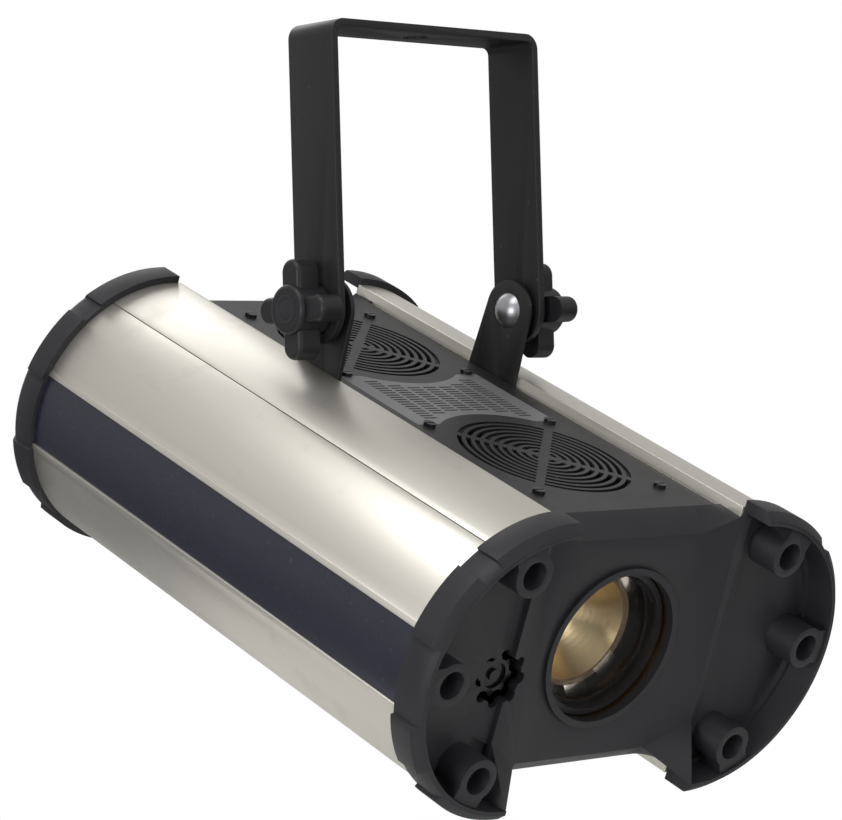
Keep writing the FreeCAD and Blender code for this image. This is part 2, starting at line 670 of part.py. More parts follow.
def cap_floor():
    """Sunk floor inside the right rim."""
    disc = rod(V(LOBE_OFFSET, CAP_FLOOR, 0), (CAP_SPIGOT_INNER + PROFILE_INNER) / 2,
               PORT_START - CAP_FLOOR, Y_AXIS)
    keep = box(FACET_EDGE - CAP_WALL, LOBE_OFFSET + PROFILE_RADIUS, CAP_FLOOR, PORT_START,
               -PROFILE_RADIUS, PROFILE_RADIUS)
    return disc.common(keep)


def cap_facet():
    """Slanted face between the neck and the right rim, flaring from neck height to rim height."""
    y0 = NECK_FACE
    y1 = -HALF_LENGTH - FACET_FORWARD
    plan = prism([V(NECK_HALF_WIDTH, y0, -FACET_EDGE_HEIGHT), V(FACET_EDGE, y1, -FACET_EDGE_HEIGHT),
                  V(FACET_EDGE, PORT_START, -FACET_EDGE_HEIGHT),
                  V(NECK_HALF_WIDTH, NECK_REAR, -FACET_EDGE_HEIGHT)], V(0, 0, 2 * FACET_EDGE_HEIGHT))
    front = y1 - CAP_WALL
    outline = prism([V(NECK_HALF_WIDTH, front, NECK_HALF_HEIGHT), V(FACET_EDGE, front, FACET_EDGE_HEIGHT),
                     V(FACET_EDGE, front, -FACET_EDGE_HEIGHT), V(NECK_HALF_WIDTH, front, -NECK_HALF_HEIGHT)],
                    V(0, NECK_REAR - front + CAP_WALL, 0))
    return plan.common(outline)


def cap_skirt_sections():
    """Cross-sections of the sloping skirt at the middle, the neck's edge and the channel's edge."""
    share = (CHANNEL_HALF_WIDTH - FIT_CLEARANCE - NECK_HALF_WIDTH) / (FACET_EDGE - NECK_HALF_WIDTH)
    edge_y = NECK_FACE - share * (NECK_SET_BACK + FACET_FORWARD)
    edge_z = NECK_HALF_HEIGHT + share * (FACET_EDGE_HEIGHT - NECK_HALF_HEIGHT)
    plate_end = -PLATE_HALF_LENGTH

    def section(x, y, z):
        points = [V(x, y, z), V(x, plate_end, PLATE_Z), V(x, plate_end, PLATE_Z - CAP_WALL),
                  V(x, y + CAP_WALL, z - CAP_WALL)]
        return Part.makePolygon(points + [points[0]])

    return [section(0, NECK_FACE, NECK_HALF_HEIGHT), section(NECK_HALF_WIDTH, NECK_FACE, NECK_HALF_HEIGHT),
            section(CHANNEL_HALF_WIDTH - FIT_CLEARANCE, edge_y, edge_z)]


def cap_skirt():
    """Sloping skirt from the neck up to the top plate, right half."""
    middle, neck, edge = cap_skirt_sections()
    return [Part.makeLoft([middle, neck], True, True), Part.makeLoft([neck, edge], True, True)]


def tetrahedron(a, b, c, d):
    """Solid with four corners."""
    sides = [(a, b, c), (a, d, b), (b, d, c), (c, d, a)]
    shell = Part.makeShell([Part.Face(Part.makePolygon(list(side) + [side[0]])) for side in sides])
    solid = Part.Solid(shell)
    if solid.Volume < 0:
        solid.reverse()
    return solid


def cap_gusset():
    """Corner between the neck's foot, the slanted face and the lower end of the right rim."""
    behind = CAP_WALL / 2
    face_y = -HALF_LENGTH - FACET_FORWARD + behind
    foot = V(NECK_HALF_WIDTH + FIT_CLEARANCE, NECK_FACE + behind, FIT_CLEARANCE - NECK_HALF_HEIGHT)
    rim = V(LOBE_OFFSET + FIT_CLEARANCE, CAP_FRONT + FIT_CLEARANCE, -CAP_RIM_INNER - CAP_LAND / 2)
    high = V(FACET_EDGE - FIT_CLEARANCE, face_y, GUSSET_RISE - NECK_HALF_HEIGHT)
    low = V(FACET_EDGE - FIT_CLEARANCE, face_y, FIT_CLEARANCE - FACET_EDGE_HEIGHT)
    return tetrahedron(foot, rim, high, low)


def cap_boss(angle):
    """Screw boss joined to the rim."""
    start = CAP_FRONT + BOSS_FACE_SET_BACK
    post = rod(polar(PORT_RADIUS, angle, start), BOSS_RADIUS, PORT_START - start, Y_AXIS)
    arm = box(LOBE_OFFSET + PORT_RADIUS, LOBE_OFFSET + CAP_RIM_INNER + CAP_LAND / 2, start,
              -HALF_LENGTH, -BOSS_ARM / 2, BOSS_ARM / 2)
    arm.rotate(V(LOBE_OFFSET, 0, 0), -Y_AXIS, angle)
    limit = rod(V(LOBE_OFFSET, start, 0), CAP_SPIGOT_INNER + CAP_LAND, PORT_START - start, Y_AXIS)
    return fuse([post, arm]).common(limit)


def cap_bores():
    """Counterbores and screw holes of the right lobe."""
    start = CAP_FRONT + BOSS_FACE_SET_BACK
    cutters = []
    for angle in PORT_ANGLES:
        cutters.append(rod(polar(PORT_RADIUS, angle, start), COUNTERBORE_RADIUS, COUNTERBORE_DEPTH, Y_AXIS))
        cutters.append(rod(polar(PORT_RADIUS, angle, start), CAP_SCREW_SHANK + THREAD_PLAY,
                           PORT_START - start, Y_AXIS))
    return cutters


def profile_clearance():
    """Space round the right profile's end that the cap keeps out of."""
    gap = FIT_CLEARANCE
    y0, y1 = -HALF_LENGTH, -PLATE_HALF_LENGTH + FIT_CLEARANCE
    shell = lobe_sector(PROFILE_INNER - gap, PROFILE_RADIUS + 3, -90, 90, y0, y1)
    recess = lobe_sector(PROFILE_INNER - STRIP_RECESS - gap, PROFILE_RADIUS,
                         STRIP_BOTTOM_ANGLE - 2 * BEAD_ANGLE, STRIP_TOP_ANGLE + 2 * BEAD_ANGLE, y0, y1)
    lip = box(CHANNEL_HALF_WIDTH - gap, CHANNEL_HALF_WIDTH + PROFILE_WALL + gap, y0, y1,
              PLATE_UNDER - LEDGE_THICKNESS - gap, PROFILE_RADIUS + 3)
    return [shell, recess, lip, flipped(lip)]


def cap_blank():
    """Cap before its openings: rims, floors, facets, neck and skirts."""
    right = cap_rim() + [cap_floor(), cap_facet(), cap_gusset()] + cap_skirt()
    right += [flipped(shape) for shape in cap_skirt()]
    right += [cap_boss(angle) for angle in PORT_ANGLES]
    neck = box(-NECK_HALF_WIDTH, NECK_HALF_WIDTH, NECK_FACE, NECK_REAR, -NECK_HALF_HEIGHT, NECK_HALF_HEIGHT)
    body = fuse([neck] + right + [mirrored_x(shape) for shape in right])
    cutters = cap_bores() + profile_clearance()
    cutters += [mirrored_x(shape) for shape in cutters]
    return body.cut(cutters)


def star_cutter(radius, teeth, y0, y1):
    """Scalloped well around the focus knob."""
    cutters = [rod(V(FOCUS_X, y0, FOCUS_Z), radius, y1 - y0, Y_AXIS)]
    lobe = math.pi * radius / teeth / SCALLOP_SPREAD
    for index in range(teeth):
        turn = 2 * math.pi * index / teeth
        spot = V(FOCUS_X + radius * math.cos(turn), y0, FOCUS_Z + radius * math.sin(turn))
        cutters.append(rod(spot, lobe, y1 - y0, Y_AXIS))
    return fuse(cutters)


def front_cap():
    """Front cap with the lens opening, the focus well and a drain slot."""
    opening = rod(V(0, NECK_FACE, 0), APERTURE_RADIUS + BARREL_WALL, CAP_WALL, Y_AXIS)
    well = star_cutter(FOCUS_KNOB_RADIUS + FOCUS_WELL_CLEARANCE, FOCUS_KNOB_TEETH, CAP_FRONT,
                       NECK_REAR + CAP_WALL)
    long, wide = DRAIN_SLOT
    slot = box(-long / 2, long / 2, CAP_FLOOR, CAP_FLOOR + CAP_WALL / 2, -wide / 2, wide / 2)
    slot.rotate(ORIGIN, Y_AXIS, DRAIN_TURN)
    slot.translate(V(-LOBE_OFFSET + DRAIN_PLACE[0], 0, DRAIN_PLACE[1]))
    return cap_blank().cut([opening, well, slot])


def rear_cap():
    """Rear cap with the panel cut-outs."""
    back = HALF_LENGTH - NECK_SET_BACK - CAP_WALL
    reach = CAP_WALL
    cutters = []
    for (x, z), (width, height) in ((INLET_POS, INLET_BODY), (SWITCH_POS, SWITCH_SIZE)):
        half_x = width / 2 + FIT_CLEARANCE
        half_z = height / 2 + FIT_CLEARANCE
        cutters.append(box(x - half_x, x + half_x, back, back + reach, z - half_z, z + half_z))
    cutters.append(rod(V(FUSE_POS[0], back, FUSE_POS[1]), FUSE_RADIUS + FIT_CLEARANCE, reach, Y_AXIS))
    for x, z in SOCKET_POS:
        cutters.append(rod(V(x, back, z), DATA_SOCKET_RADIUS + FIT_CLEARANCE, reach, Y_AXIS))
    return half_turn(cap_blank()).cut(cutters)


def cap_screws():
    """The six screws of the front cap and, turned round, the six of the rear cap."""
    seat = CAP_FRONT + BOSS_FACE_SET_BACK + COUNTERBORE_DEPTH
    screws = []
    for angle in PORT_ANGLES:
        head = rod(polar(PORT_RADIUS, angle, seat - CAP_SCREW_HEAD_DEPTH), CAP_SCREW_HEAD,
                   CAP_SCREW_HEAD_DEPTH, Y_AXIS)
        shank = rod(polar(PORT_RADIUS, angle, seat), CAP_SCREW_SHANK, CAP_SCREW_LENGTH, Y_AXIS)
        hex_key = socket_hexagon(polar(PORT_RADIUS, angle, seat - CAP_SCREW_HEAD_DEPTH))
        screw = fuse([head, shank]).cut(hex_key)
        screws += [screw, mirrored_x(screw)]
    return Part.makeCompound(screws + [half_turn(screw) for screw in screws])


def socket_hexagon(spot):
    """Hexagon recess in a screw head."""
    size = CAP_SCREW_HEAD * HEX_KEY_SHARE
    points = []
    for index in range(6):
        turn = math.radians(60 * index)
        points.append(V(spot.x + size * math.cos(turn), spot.y, spot.z + size * math.sin(turn)))
    return prism(points, V(0, CAP_SCREW_HEAD_DEPTH * HEX_KEY_DEPTH, 0))


# ---- tilt ears, bolts, knobs ----
def ear():
    """Right ear: upright with a round top, and a foot turned inward below the plate."""
    y, z = PIVOT_BEHIND_MIDDLE, PIVOT_HEIGHT
    half, top = EAR_BASE_HALF, EAR_TOP_RADIUS
    x = EAR_INNER_X
    outline = [Part.makeLine(V(x, y - half, EAR_FOOT_Z), V(x, y + half, EAR_FOOT_Z)),
               Part.makeLine(V(x, y + half, EAR_FOOT_Z), V(x, y + half, PLATE_Z)),
               Part.makeLine(V(x, y + half, PLATE_Z), V(x, y + top, z)),
               Part.Arc(V(x, y + top, z), V(x, y, z + top), V(x, y - top, z)).toShape(),
               Part.makeLine(V(x, y - top, z), V(x, y - half, PLATE_Z)),
               Part.makeLine(V(x, y - half, PLATE_Z), V(x, y - half, EAR_FOOT_Z))]
    upright = Part.Face(Part.Wire(outline)).extrude(V(EAR_THICKNESS, 0, 0))
    foot = box(x - EAR_FOOT_WIDTH, x + EAR_THICKNESS, y - half, y + half, EAR_FOOT_Z,
               EAR_FOOT_Z + EAR_THICKNESS)
    square = box(x, x + EAR_THICKNESS, y - BOLT_RADIUS, y + BOLT_RADIUS, z - BOLT_RADIUS, z + BOLT_RADIUS)
    return fuse([upright, foot]).cut([square] + ear_screw_holes())


def cross_brace():
    """Flat brace that joins the feet of the two ears and carries the load into the body."""
    y, half = PIVOT_BEHIND_MIDDLE, EAR_BASE_HALF
    return box(-EAR_OUTER_X, EAR_OUTER_X, y - half, y + half, EAR_FOOT_Z - EAR_THICKNESS, EAR_FOOT_Z)


def carriage_bolt():
    """Right bolt: domed head inside the ear, square neck, plain shank to the knob."""
    y, z, x = PIVOT_BEHIND_MIDDLE, PIVOT_HEIGHT, EAR_INNER_X
    sphere_radius = (BOLT_DOME_RADIUS ** 2 + BOLT_DOME_HEIGHT ** 2) / (2 * BOLT_DOME_HEIGHT)
    ball = Part.makeSphere(sphere_radius, V(x - BOLT_DOME_HEIGHT + sphere_radius, y, z))
    slab = rod(V(x - BOLT_DOME_HEIGHT, y, z), BOLT_DOME_RADIUS * 1.2, BOLT_DOME_HEIGHT, X_AXIS)
    dome = ball.common(slab)
    neck = box(x, x + EAR_THICKNESS, y - BOLT_RADIUS, y + BOLT_RADIUS, z - BOLT_RADIUS, z + BOLT_RADIUS)
    shank = rod(V(x, y, z), BOLT_RADIUS, KNOB_X + BOLT_REACH - x, X_AXIS)
    return fuse([dome, neck, shank])


def pivot_spacer():
    """Right spacer on the bolt between the ear and the yoke."""
    start = V(EAR_OUTER_X, PIVOT_BEHIND_MIDDLE, PIVOT_HEIGHT)
    length = YOKE_INNER - EAR_OUTER_X - FACE_GAP
    return tube(start, SPACER_RADIUS, BOLT_RADIUS + BOLT_RUNNING_GAP, length, X_AXIS)


def knob_arms(start):
    """Four round-ended arms of a knob with softened outer edges."""
    half = KNOB_ARM_WIDTH / 2
    reach = KNOB_ARM_REACH - half
    x0, x1 = start.x + KNOB_SKIRT, start.x + KNOB_SKIRT + KNOB_ARM_THICKNESS
    arms = []
    for index in range(4):
        arm = fuse([box(x0, x1, start.y - half, start.y + half, start.z, start.z + reach),
                    rod(V(x0, start.y, start.z + reach), half, KNOB_ARM_THICKNESS, X_AXIS)])
        tip = [edge for edge in arm.Edges if edge.CenterOfMass.x > x1 - 0.01
               and edge.CenterOfMass.z > start.z + 0.1]
        arm = arm.makeFillet(KNOB_ROUND, tip)
        arm.rotate(start, X_AXIS, 90 * index - HEAD_TILT)
        arms.append(arm)
    return arms


def clamp_knob():
    """Right clamp knob with four arms, its arms upright and level in the hung frame."""
    start = V(KNOB_X, PIVOT_BEHIND_MIDDLE, PIVOT_HEIGHT)
    hub = rod(start, KNOB_HUB_RADIUS, KNOB_HUB_HEIGHT, X_AXIS)
    far = KNOB_X + KNOB_HUB_HEIGHT
    hub = hub.makeFillet(KNOB_ROUND, [edge for edge in hub.Edges if edge.CenterOfMass.x > far - 0.01])
    bore = rod(start, BOLT_RADIUS + BOLT_RUNNING_GAP, BOLT_REACH + FACE_GAP, X_AXIS)
    return fuse([hub] + knob_arms(start)).cut(bore)


# ---- yoke, built in the hung frame ----
def yoke_bracket():
    """Flat-bar yoke with round bends, round leg ends, pivot holes and the hanging hole."""
    half, strap = YOKE_HALF_WIDTH, YOKE_STRAP / 2
    low = -YOKE_RISE - strap

    def rounded_block(half_x, top, radius):
        block = box(-half_x, half_x, -strap, strap, low, top)
        corners = [edge for edge in block.Edges
                   if abs(edge.CenterOfMass.z - top) < 0.01 and abs(edge.CenterOfMass.x) > half_x / 2]
        return block.makeFillet(radius, corners)

    outer = rounded_block(half, 0, YOKE_BEND)
    inner = rounded_block(half - YOKE_THICKNESS, -YOKE_THICKNESS, YOKE_BEND - YOKE_THICKNESS)
    strap_shape = outer.cut(inner)
    eye = rod(V(-half, 0, -YOKE_RISE), strap, 2 * half, X_AXIS)
    above = box(-half, half, -strap, strap, -YOKE_RISE, 0)
    strap_shape = strap_shape.common(fuse([eye, above]))
    pivot = rod(V(-half, 0, -YOKE_RISE), BOLT_RADIUS + BOLT_RUNNING_GAP, 2 * half, X_AXIS)
    hanging = rod(V(0, 0, -YOKE_THICKNESS), HANG_HOLE_RADIUS, YOKE_THICKNESS, Z_AXIS)
    return strap_shape.cut([pivot, hanging])


def knob_washer():
    """Right washer, seated on the yoke's leg under the clamp knob."""
    start = V(YOKE_HALF_WIDTH, 0, -YOKE_RISE)
    return tube(start, WASHER_RADIUS, BOLT_RADIUS + BOLT_RUNNING_GAP, WASHER_THICKNESS, X_AXIS)


# ---- lens group ----
def lens_ring():
    """Dark flange round the lens opening."""
    start = V(0, NECK_FACE - LENS_RING_PROUD, 0)
    flange = tube(start, LENS_RING_OUTER, APERTURE_RADIUS, LENS_RING_PROUD, Y_AXIS)
    sleeve = tube(start, APERTURE_RADIUS + BARREL_WALL, APERTURE_RADIUS,
                  LENS_RING_PROUD + CAP_WALL, Y_AXIS)
    return fuse([flange, sleeve])


def lens_barrel():
    """Fixed barrel behind the neck, slotted for the focus arm."""
    outer = APERTURE_RADIUS + BARREL_WALL
    barrel = tube(V(0, NECK_REAR, 0), outer, APERTURE_RADIUS, BARREL_LENGTH, Y_AXIS)
    flange = tube(V(0, NECK_REAR, 0), outer + BARREL_FLANGE, APERTURE_RADIUS, BARREL_WALL, Y_AXIS)
    half = CELL_ARM_HEIGHT / 2 + CELL_CLEARANCE
    slot = box(-outer, 0, cell_arm_span()[0] - CELL_CLEARANCE, NECK_REAR + BARREL_LENGTH,
               FOCUS_Z - half, FOCUS_Z + half)
    return fuse([barrel, flange]).cut(slot)


def cell_arm_span():
    """Front and rear of the focus arm along y."""
    front = CELL_Y + (CELL_LENGTH - CELL_ARM_THICKNESS) / 2
    return front, front + CELL_ARM_THICKNESS


def lens_cell():
    """Sliding cell that holds the lens, with its arm and nut on the focus spindle."""
    outer = APERTURE_RADIUS - CELL_CLEARANCE
    ring = tube(V(0, CELL_Y, 0), outer, LENS_RADIUS, CELL_LENGTH, Y_AXIS)
    lip = tube(V(0, CELL_Y + CELL_LENGTH - CELL_LIP, 0), outer, LENS_RADIUS - CELL_SEAT, CELL_LIP, Y_AXIS)
    y0, y1 = cell_arm_span()
    arm = box(FOCUS_X, -LENS_RADIUS, y0, y1, FOCUS_Z - CELL_ARM_HEIGHT / 2, FOCUS_Z + CELL_ARM_HEIGHT / 2)
    nut = rod(V(FOCUS_X, y0, FOCUS_Z), FOCUS_SPINDLE_RADIUS + FOCUS_NUT_WALL, CELL_ARM_THICKNESS, Y_AXIS)
    body = fuse([ring, lip, arm.cut(rod(V(0, CELL_Y, 0), LENS_RADIUS, CELL_LENGTH, Y_AXIS)), nut])
    bore = rod(V(FOCUS_X, y0, FOCUS_Z), FOCUS_SPINDLE_RADIUS + THREAD_PLAY, CELL_ARM_THICKNESS, Y_AXIS)
    return body.cut(bore)


def front_lens():
    """Plano-convex objective lens, crown forward, seated on the cell's lip."""
    seat = CELL_Y + CELL_LENGTH - CELL_LIP
    return plano_convex(seat, LENS_RADIUS - THREAD_PLAY, LENS_EDGE, LENS_CROWN, -1)


def focus_knob():
    """Toothed focus knob sunk in its well, with the threaded spindle behind it."""
    start = V(FOCUS_X, CAP_FLOOR + FOCUS_KNOB_SUNK, FOCUS_Z)
    tooth = FOCUS_KNOB_RADIUS * FOCUS_KNOB_TOOTH
    core = rod(start, FOCUS_KNOB_RADIUS - tooth, FOCUS_KNOB_LENGTH, Y_AXIS)
    teeth = []
    for index in range(FOCUS_KNOB_TEETH):
        turn = 2 * math.pi * index / FOCUS_KNOB_TEETH
        reach = FOCUS_KNOB_RADIUS - tooth
        spot = start + V(reach * math.cos(turn), 0, reach * math.sin(turn))
        teeth.append(rod(spot, tooth, FOCUS_KNOB_LENGTH, Y_AXIS))
    end = BULKHEAD_Y + BULKHEAD_THICKNESS + FOCUS_SPINDLE_RADIUS
    spindle = rod(start, FOCUS_SPINDLE_RADIUS, end - start.y, Y_AXIS)
    dimple = tube(start, FOCUS_KNOB_RADIUS - 2 * tooth, FOCUS_SPINDLE_RADIUS, FOCUS_KNOB_DIMPLE,
                  Y_AXIS)
    return fuse([core] + teeth + [spindle]).cut(dimple)


def gate_dish():
    """Gold coated dish round the gate, open towards the lens."""
    depth, radius = DISH_DEPTH, DISH_RADIUS
    steps = DISH_STEPS
    inner, outer = [], []
    for index in range(steps + 1):
        r = DISH_HOLE + (radius - DISH_HOLE) * index / steps
        fall = depth * (1 - (index / steps) ** DISH_CURVE)
        inner.append((r, DISH_RIM_Y + fall))
        outer.append((r + DISH_WALL * 0.7, DISH_RIM_Y + fall + DISH_WALL * (1 - index / steps)))
    shell = turned(inner + [(radius + DISH_WALL * 1.2, DISH_RIM_Y)] + outer[::-1], ORIGIN)
    collar = tube(V(0, BULKHEAD_Y - 3 * DISH_WALL, 0), DISH_HOLE + 2 * DISH_WALL, DISH_HOLE,
                  3 * DISH_WALL, Y_AXIS)
    return fuse([shell, collar])


def dish_ring():
    """Clear glass retaining ring on the dish's rim."""
    start = V(0, DISH_RIM_Y - DISH_RING_THICKNESS, 0)
    return tube(start, DISH_RADIUS + DISH_RING_WIDTH, DISH_RADIUS - DISH_RING_LAP, DISH_RING_THICKNESS,
                Y_AXIS)


# ---- chassis and wheels ----
def chassis_tray():
    """Folded steel tray on the bottom plate that carries the bulkheads."""
    reach = PLATE_HALF_LENGTH - CHASSIS_END_GAP
    half, under = CHASSIS_HALF_WIDTH, CHASSIS_Z - CHASSIS_THICKNESS
    floor = box(-half, half, -reach, reach, under, CHASSIS_Z)
    legs = [box(side - CHASSIS_THICKNESS, side, -reach, reach, -PLATE_UNDER, CHASSIS_Z)
            for side in (half, CHASSIS_THICKNESS - half)]
    return fuse([floor] + legs)


def bulkhead(y, hole_radius):
    """Upright plate across the tray with a hole for the beam."""
    half = BULKHEAD_HALF_WIDTH
    plate = box(-half, half, y, y + BULKHEAD_THICKNESS, CHASSIS_Z, BULKHEAD_TOP)
    return plate.cut(rod(V(0, y, 0), hole_radius, BULKHEAD_THICKNESS, Y_AXIS))


def gate_bulkhead():
    """Bulkhead behind the dish; the focus spindle ends in a bearing on its left tab."""
    tab = box(FOCUS_X - SPINDLE_TAB, -BULKHEAD_HALF_WIDTH, BULKHEAD_Y, BULKHEAD_Y + BULKHEAD_THICKNESS,
              FOCUS_Z - SPINDLE_TAB, FOCUS_Z + SPINDLE_TAB)
    bearing = rod(V(FOCUS_X, BULKHEAD_Y, FOCUS_Z), FOCUS_SPINDLE_RADIUS + THREAD_PLAY,
                  BULKHEAD_THICKNESS, Y_AXIS)
    return fuse([bulkhead(BULKHEAD_Y, DISH_HOLE), tab]).cut(bearing)


def motor_bulkhead():
    """Bulkhead that carries both wheel motors."""
    return bulkhead(BRACKET_Y, BEAM_RADIUS)


def wheel(y, centre_x, with_open):
    """Effect wheel: thin disc with a hub and a ring of apertures, one of them on the beam."""
    centre = V(centre_x, y, 0)
    disc = rod(centre, WHEEL_RADIUS, WHEEL_THICKNESS, Y_AXIS)
    hub = rod(centre, WHEEL_HUB_RADIUS, WHEEL_THICKNESS + WHEEL_GAP / 2, Y_AXIS)
    holes = []
    towards_beam = math.pi if centre_x > 0 else 0.0
    for index in range(WHEEL_HOLES):
        turn = towards_beam + 2 * math.pi * index / WHEEL_HOLES
        radius = WHEEL_HOLE_RADIUS * (1.0 if index == 0 or with_open else PATTERN_SHARE)
        spot = centre + V(WHEEL_OFFSET * math.cos(turn), 0, WHEEL_OFFSET * math.sin(turn))
        holes.append(rod(spot, radius, WHEEL_THICKNESS, Y_AXIS))
    shaft = rod(centre, MOTOR_SHAFT + THREAD_PLAY, WHEEL_THICKNESS + WHEEL_GAP / 2, Y_AXIS)
    return fuse([disc, hub]).cut(holes + [shaft])


def filter_glasses():
    """Coloured glasses that fill all but the open aperture of the colour wheel."""
    glasses = []
    for index in range(1, WHEEL_HOLES):
        turn = 2 * math.pi * index / WHEEL_HOLES
        spot = V(-WHEEL_OFFSET + WHEEL_OFFSET * math.cos(turn), COLOUR_Y, WHEEL_OFFSET * math.sin(turn))
        glasses.append(rod(spot, WHEEL_HOLE_RADIUS, WHEEL_THICKNESS, Y_AXIS))
    return Part.makeCompound(glasses)


def motor(centre_x, wheel_y):
    """Square stepper motor whose shaft carries a wheel."""
    half = MOTOR_SIZE / 2
    can = box(centre_x - half, centre_x + half, MOTOR_Y, BRACKET_Y, -half, half)
    corners = [edge for edge in can.Edges if edge.BoundBox.YLength > MOTOR_LENGTH / 2]
    can = can.makeFillet(MOTOR_CORNER, corners)
    boss = rod(V(centre_x, MOTOR_Y - MOTOR_BOSS_HEIGHT, 0), MOTOR_BOSS_RADIUS, MOTOR_BOSS_HEIGHT, Y_AXIS)
    shaft = rod(V(centre_x, wheel_y, 0), MOTOR_SHAFT, MOTOR_Y - wheel_y, Y_AXIS)
    return fuse([can, boss, shaft])


# ---- lamp train ----
def condenser_holder():
    """Ring that holds the condenser lens, on its foot."""
    outer = CONDENSER_RADIUS + HOLDER_WALL
    ring = tube(V(0, CONDENSER_Y, 0), outer, CONDENSER_RADIUS, CONDENSER_LENGTH, Y_AXIS)
    top = -CONDENSER_RADIUS - HOLDER_WALL / 2
    foot = box(-HOLDER_FOOT, HOLDER_FOOT, CONDENSER_Y, CONDENSER_Y + CONDENSER_LENGTH, CHASSIS_Z, top)
    return fuse([ring, foot])


def condenser_lens():
    """Thick condenser lens, domed towards the lamp."""
    return plano_convex(CONDENSER_Y, CONDENSER_RADIUS, CONDENSER_EDGE, CONDENSER_CROWN, 1)


def heat_filter():
    """Square heat glass in front of the lamp, standing on the tray in its clip."""
    return box(-HEAT_GLASS_HALF, HEAT_GLASS_HALF, FILTER_Y, FILTER_Y + HEAT_GLASS_THICKNESS,
               CHASSIS_Z + HEAT_GLASS_LIFT, HEAT_GLASS_TOP)


def filter_clip():
    """Channel that holds the heat glass upright."""
    half = HEAT_GLASS_HALF + CLIP_WALL
    base = box(-half, half, FILTER_Y - CLIP_DEPTH, FILTER_Y + HEAT_GLASS_THICKNESS + CLIP_DEPTH, CHASSIS_Z,
               CHASSIS_Z + CLIP_HEIGHT)
    return base.cut(heat_filter())


def lamp_reflector():
    """Deep lamp reflector, open towards the condenser."""
    steps = LAMP_DISH_STEPS
    neck = LAMP_GLASS_RADIUS + LAMP_NECK_GAP
    inner, outer = [], []
    for index in range(steps + 1):
        r = neck + (LAMP_DISH_RADIUS - neck) * index / steps
        fall = LAMP_DISH_DEPTH * (1 - (index / steps) ** 2)
        inner.append((r, LAMP_DISH_Y + fall - LAMP_DISH_WALL))
        outer.append((r + LAMP_DISH_WALL, LAMP_DISH_Y + fall))
    collar = tube(V(0, LAMP_Y - LAMP_COLLAR_DEPTH, 0), neck + LAMP_COLLAR_WALL, neck, LAMP_COLLAR_DEPTH,
                  Y_AXIS)
    return fuse([turned(inner + outer[::-1], ORIGIN), collar])


def lamp():
    """Halogen capsule with its pinch and two pins."""
    bulb_y = LAMP_Y - LAMP_GLASS_LENGTH
    width, length, height = LAMP_PINCH
    seat = LAMP_Y + LAMP_SEAT
    front = bulb_y + LAMP_GLASS_RADIUS
    glass = rod(V(0, front, 0), LAMP_GLASS_RADIUS, seat - length + 2 * LAMP_PIN_RADIUS - front, Y_AXIS)
    tip = Part.makeSphere(LAMP_GLASS_RADIUS, V(0, front, 0))
    pinch = box(-width / 2, width / 2, seat - length, seat, -height / 2, height / 2)
    return fuse([glass, tip, pinch] + lamp_pins(0))


def lamp_pins(margin):
    """The lamp's two pins, thickened and lengthened by a margin."""
    return [rod(V(side * LAMP_PIN_OFFSET, LAMP_Y + LAMP_SEAT, 0), LAMP_PIN_RADIUS + margin,
                LAMP_PIN_LENGTH + margin, Y_AXIS) for side in (-1, 1)]


def lamp_socket():
    """Ceramic lamp socket behind the reflector."""
    body = rod(V(0, LAMP_Y + LAMP_SEAT, 0), SOCKET_RADIUS, SOCKET_LENGTH, Y_AXIS)
    return body.cut(lamp_pins(THREAD_PLAY))


def lamp_carrier():
    """Bent bracket from the tray that holds the reflector's neck and the socket."""
    half, wide = CARRIER_HALF_BACK, CARRIER_HALF_FRONT
    back = SOCKET_END + CARRIER_POST
    post = box(-half, half, SOCKET_END, back, CHASSIS_Z, CARRIER_TOP)
    front = box(-wide, wide, LAMP_Y, LAMP_Y + CARRIER_FRONT, CHASSIS_Z, CARRIER_TOP)
    front = front.cut(rod(V(0, LAMP_Y, 0), LAMP_GLASS_RADIUS + LAMP_NECK_GAP, CARRIER_FRONT, Y_AXIS))
    foot = box(-half, half, LAMP_Y, back, CHASSIS_Z, CHASSIS_Z + CARRIER_POST)
    return fuse([post, front, foot])


# ---- fans ----
def fan_frame(centre_y):
    """Square fan frame under a grille, with motor struts at its lower face."""
    z1 = PLATE_UNDER
    z0 = z1 - FAN_DEPTH
    half = FAN_SIZE / 2
    block = box(-half, half, centre_y - half, centre_y + half, z0, z1)
    corners = [edge for edge in block.Edges if edge.BoundBox.ZLength > FAN_DEPTH / 2]
    block = block.makeFillet(FAN_CORNER, corners)
    duct = rod(V(0, centre_y, z0), FAN_DUCT_RADIUS, FAN_DEPTH, Z_AXIS)
    frame = block.cut(duct)
    struts = [rod(V(0, centre_y, z0), FAN_HUB_RADIUS, FAN_STRUT_DEPTH, Z_AXIS)]
    for index in range(4):
        strut = box(0, FAN_DUCT_RADIUS + 1, centre_y - FAN_STRUT / 2, centre_y + FAN_STRUT / 2, z0,
                    z0 + FAN_STRUT_DEPTH)
        strut.rotate(V(0, centre_y, z0), Z_AXIS, 90 * index)
        struts.append(strut)
    pin = rod(V(0, centre_y, z0 + FAN_STRUT_DEPTH), FAN_PIN_RADIUS, FAN_DEPTH / 2, Z_AXIS)
    holes = [rod(V(x, y, z1 - FAN_SCREW_DEPTH), SMALL_SCREW_SHANK + THREAD_PLAY, FAN_SCREW_DEPTH, Z_AXIS)
             for x, y in fan_screw_points(centre_y)]
    return fuse([frame, pin] + struts).cut(holes)


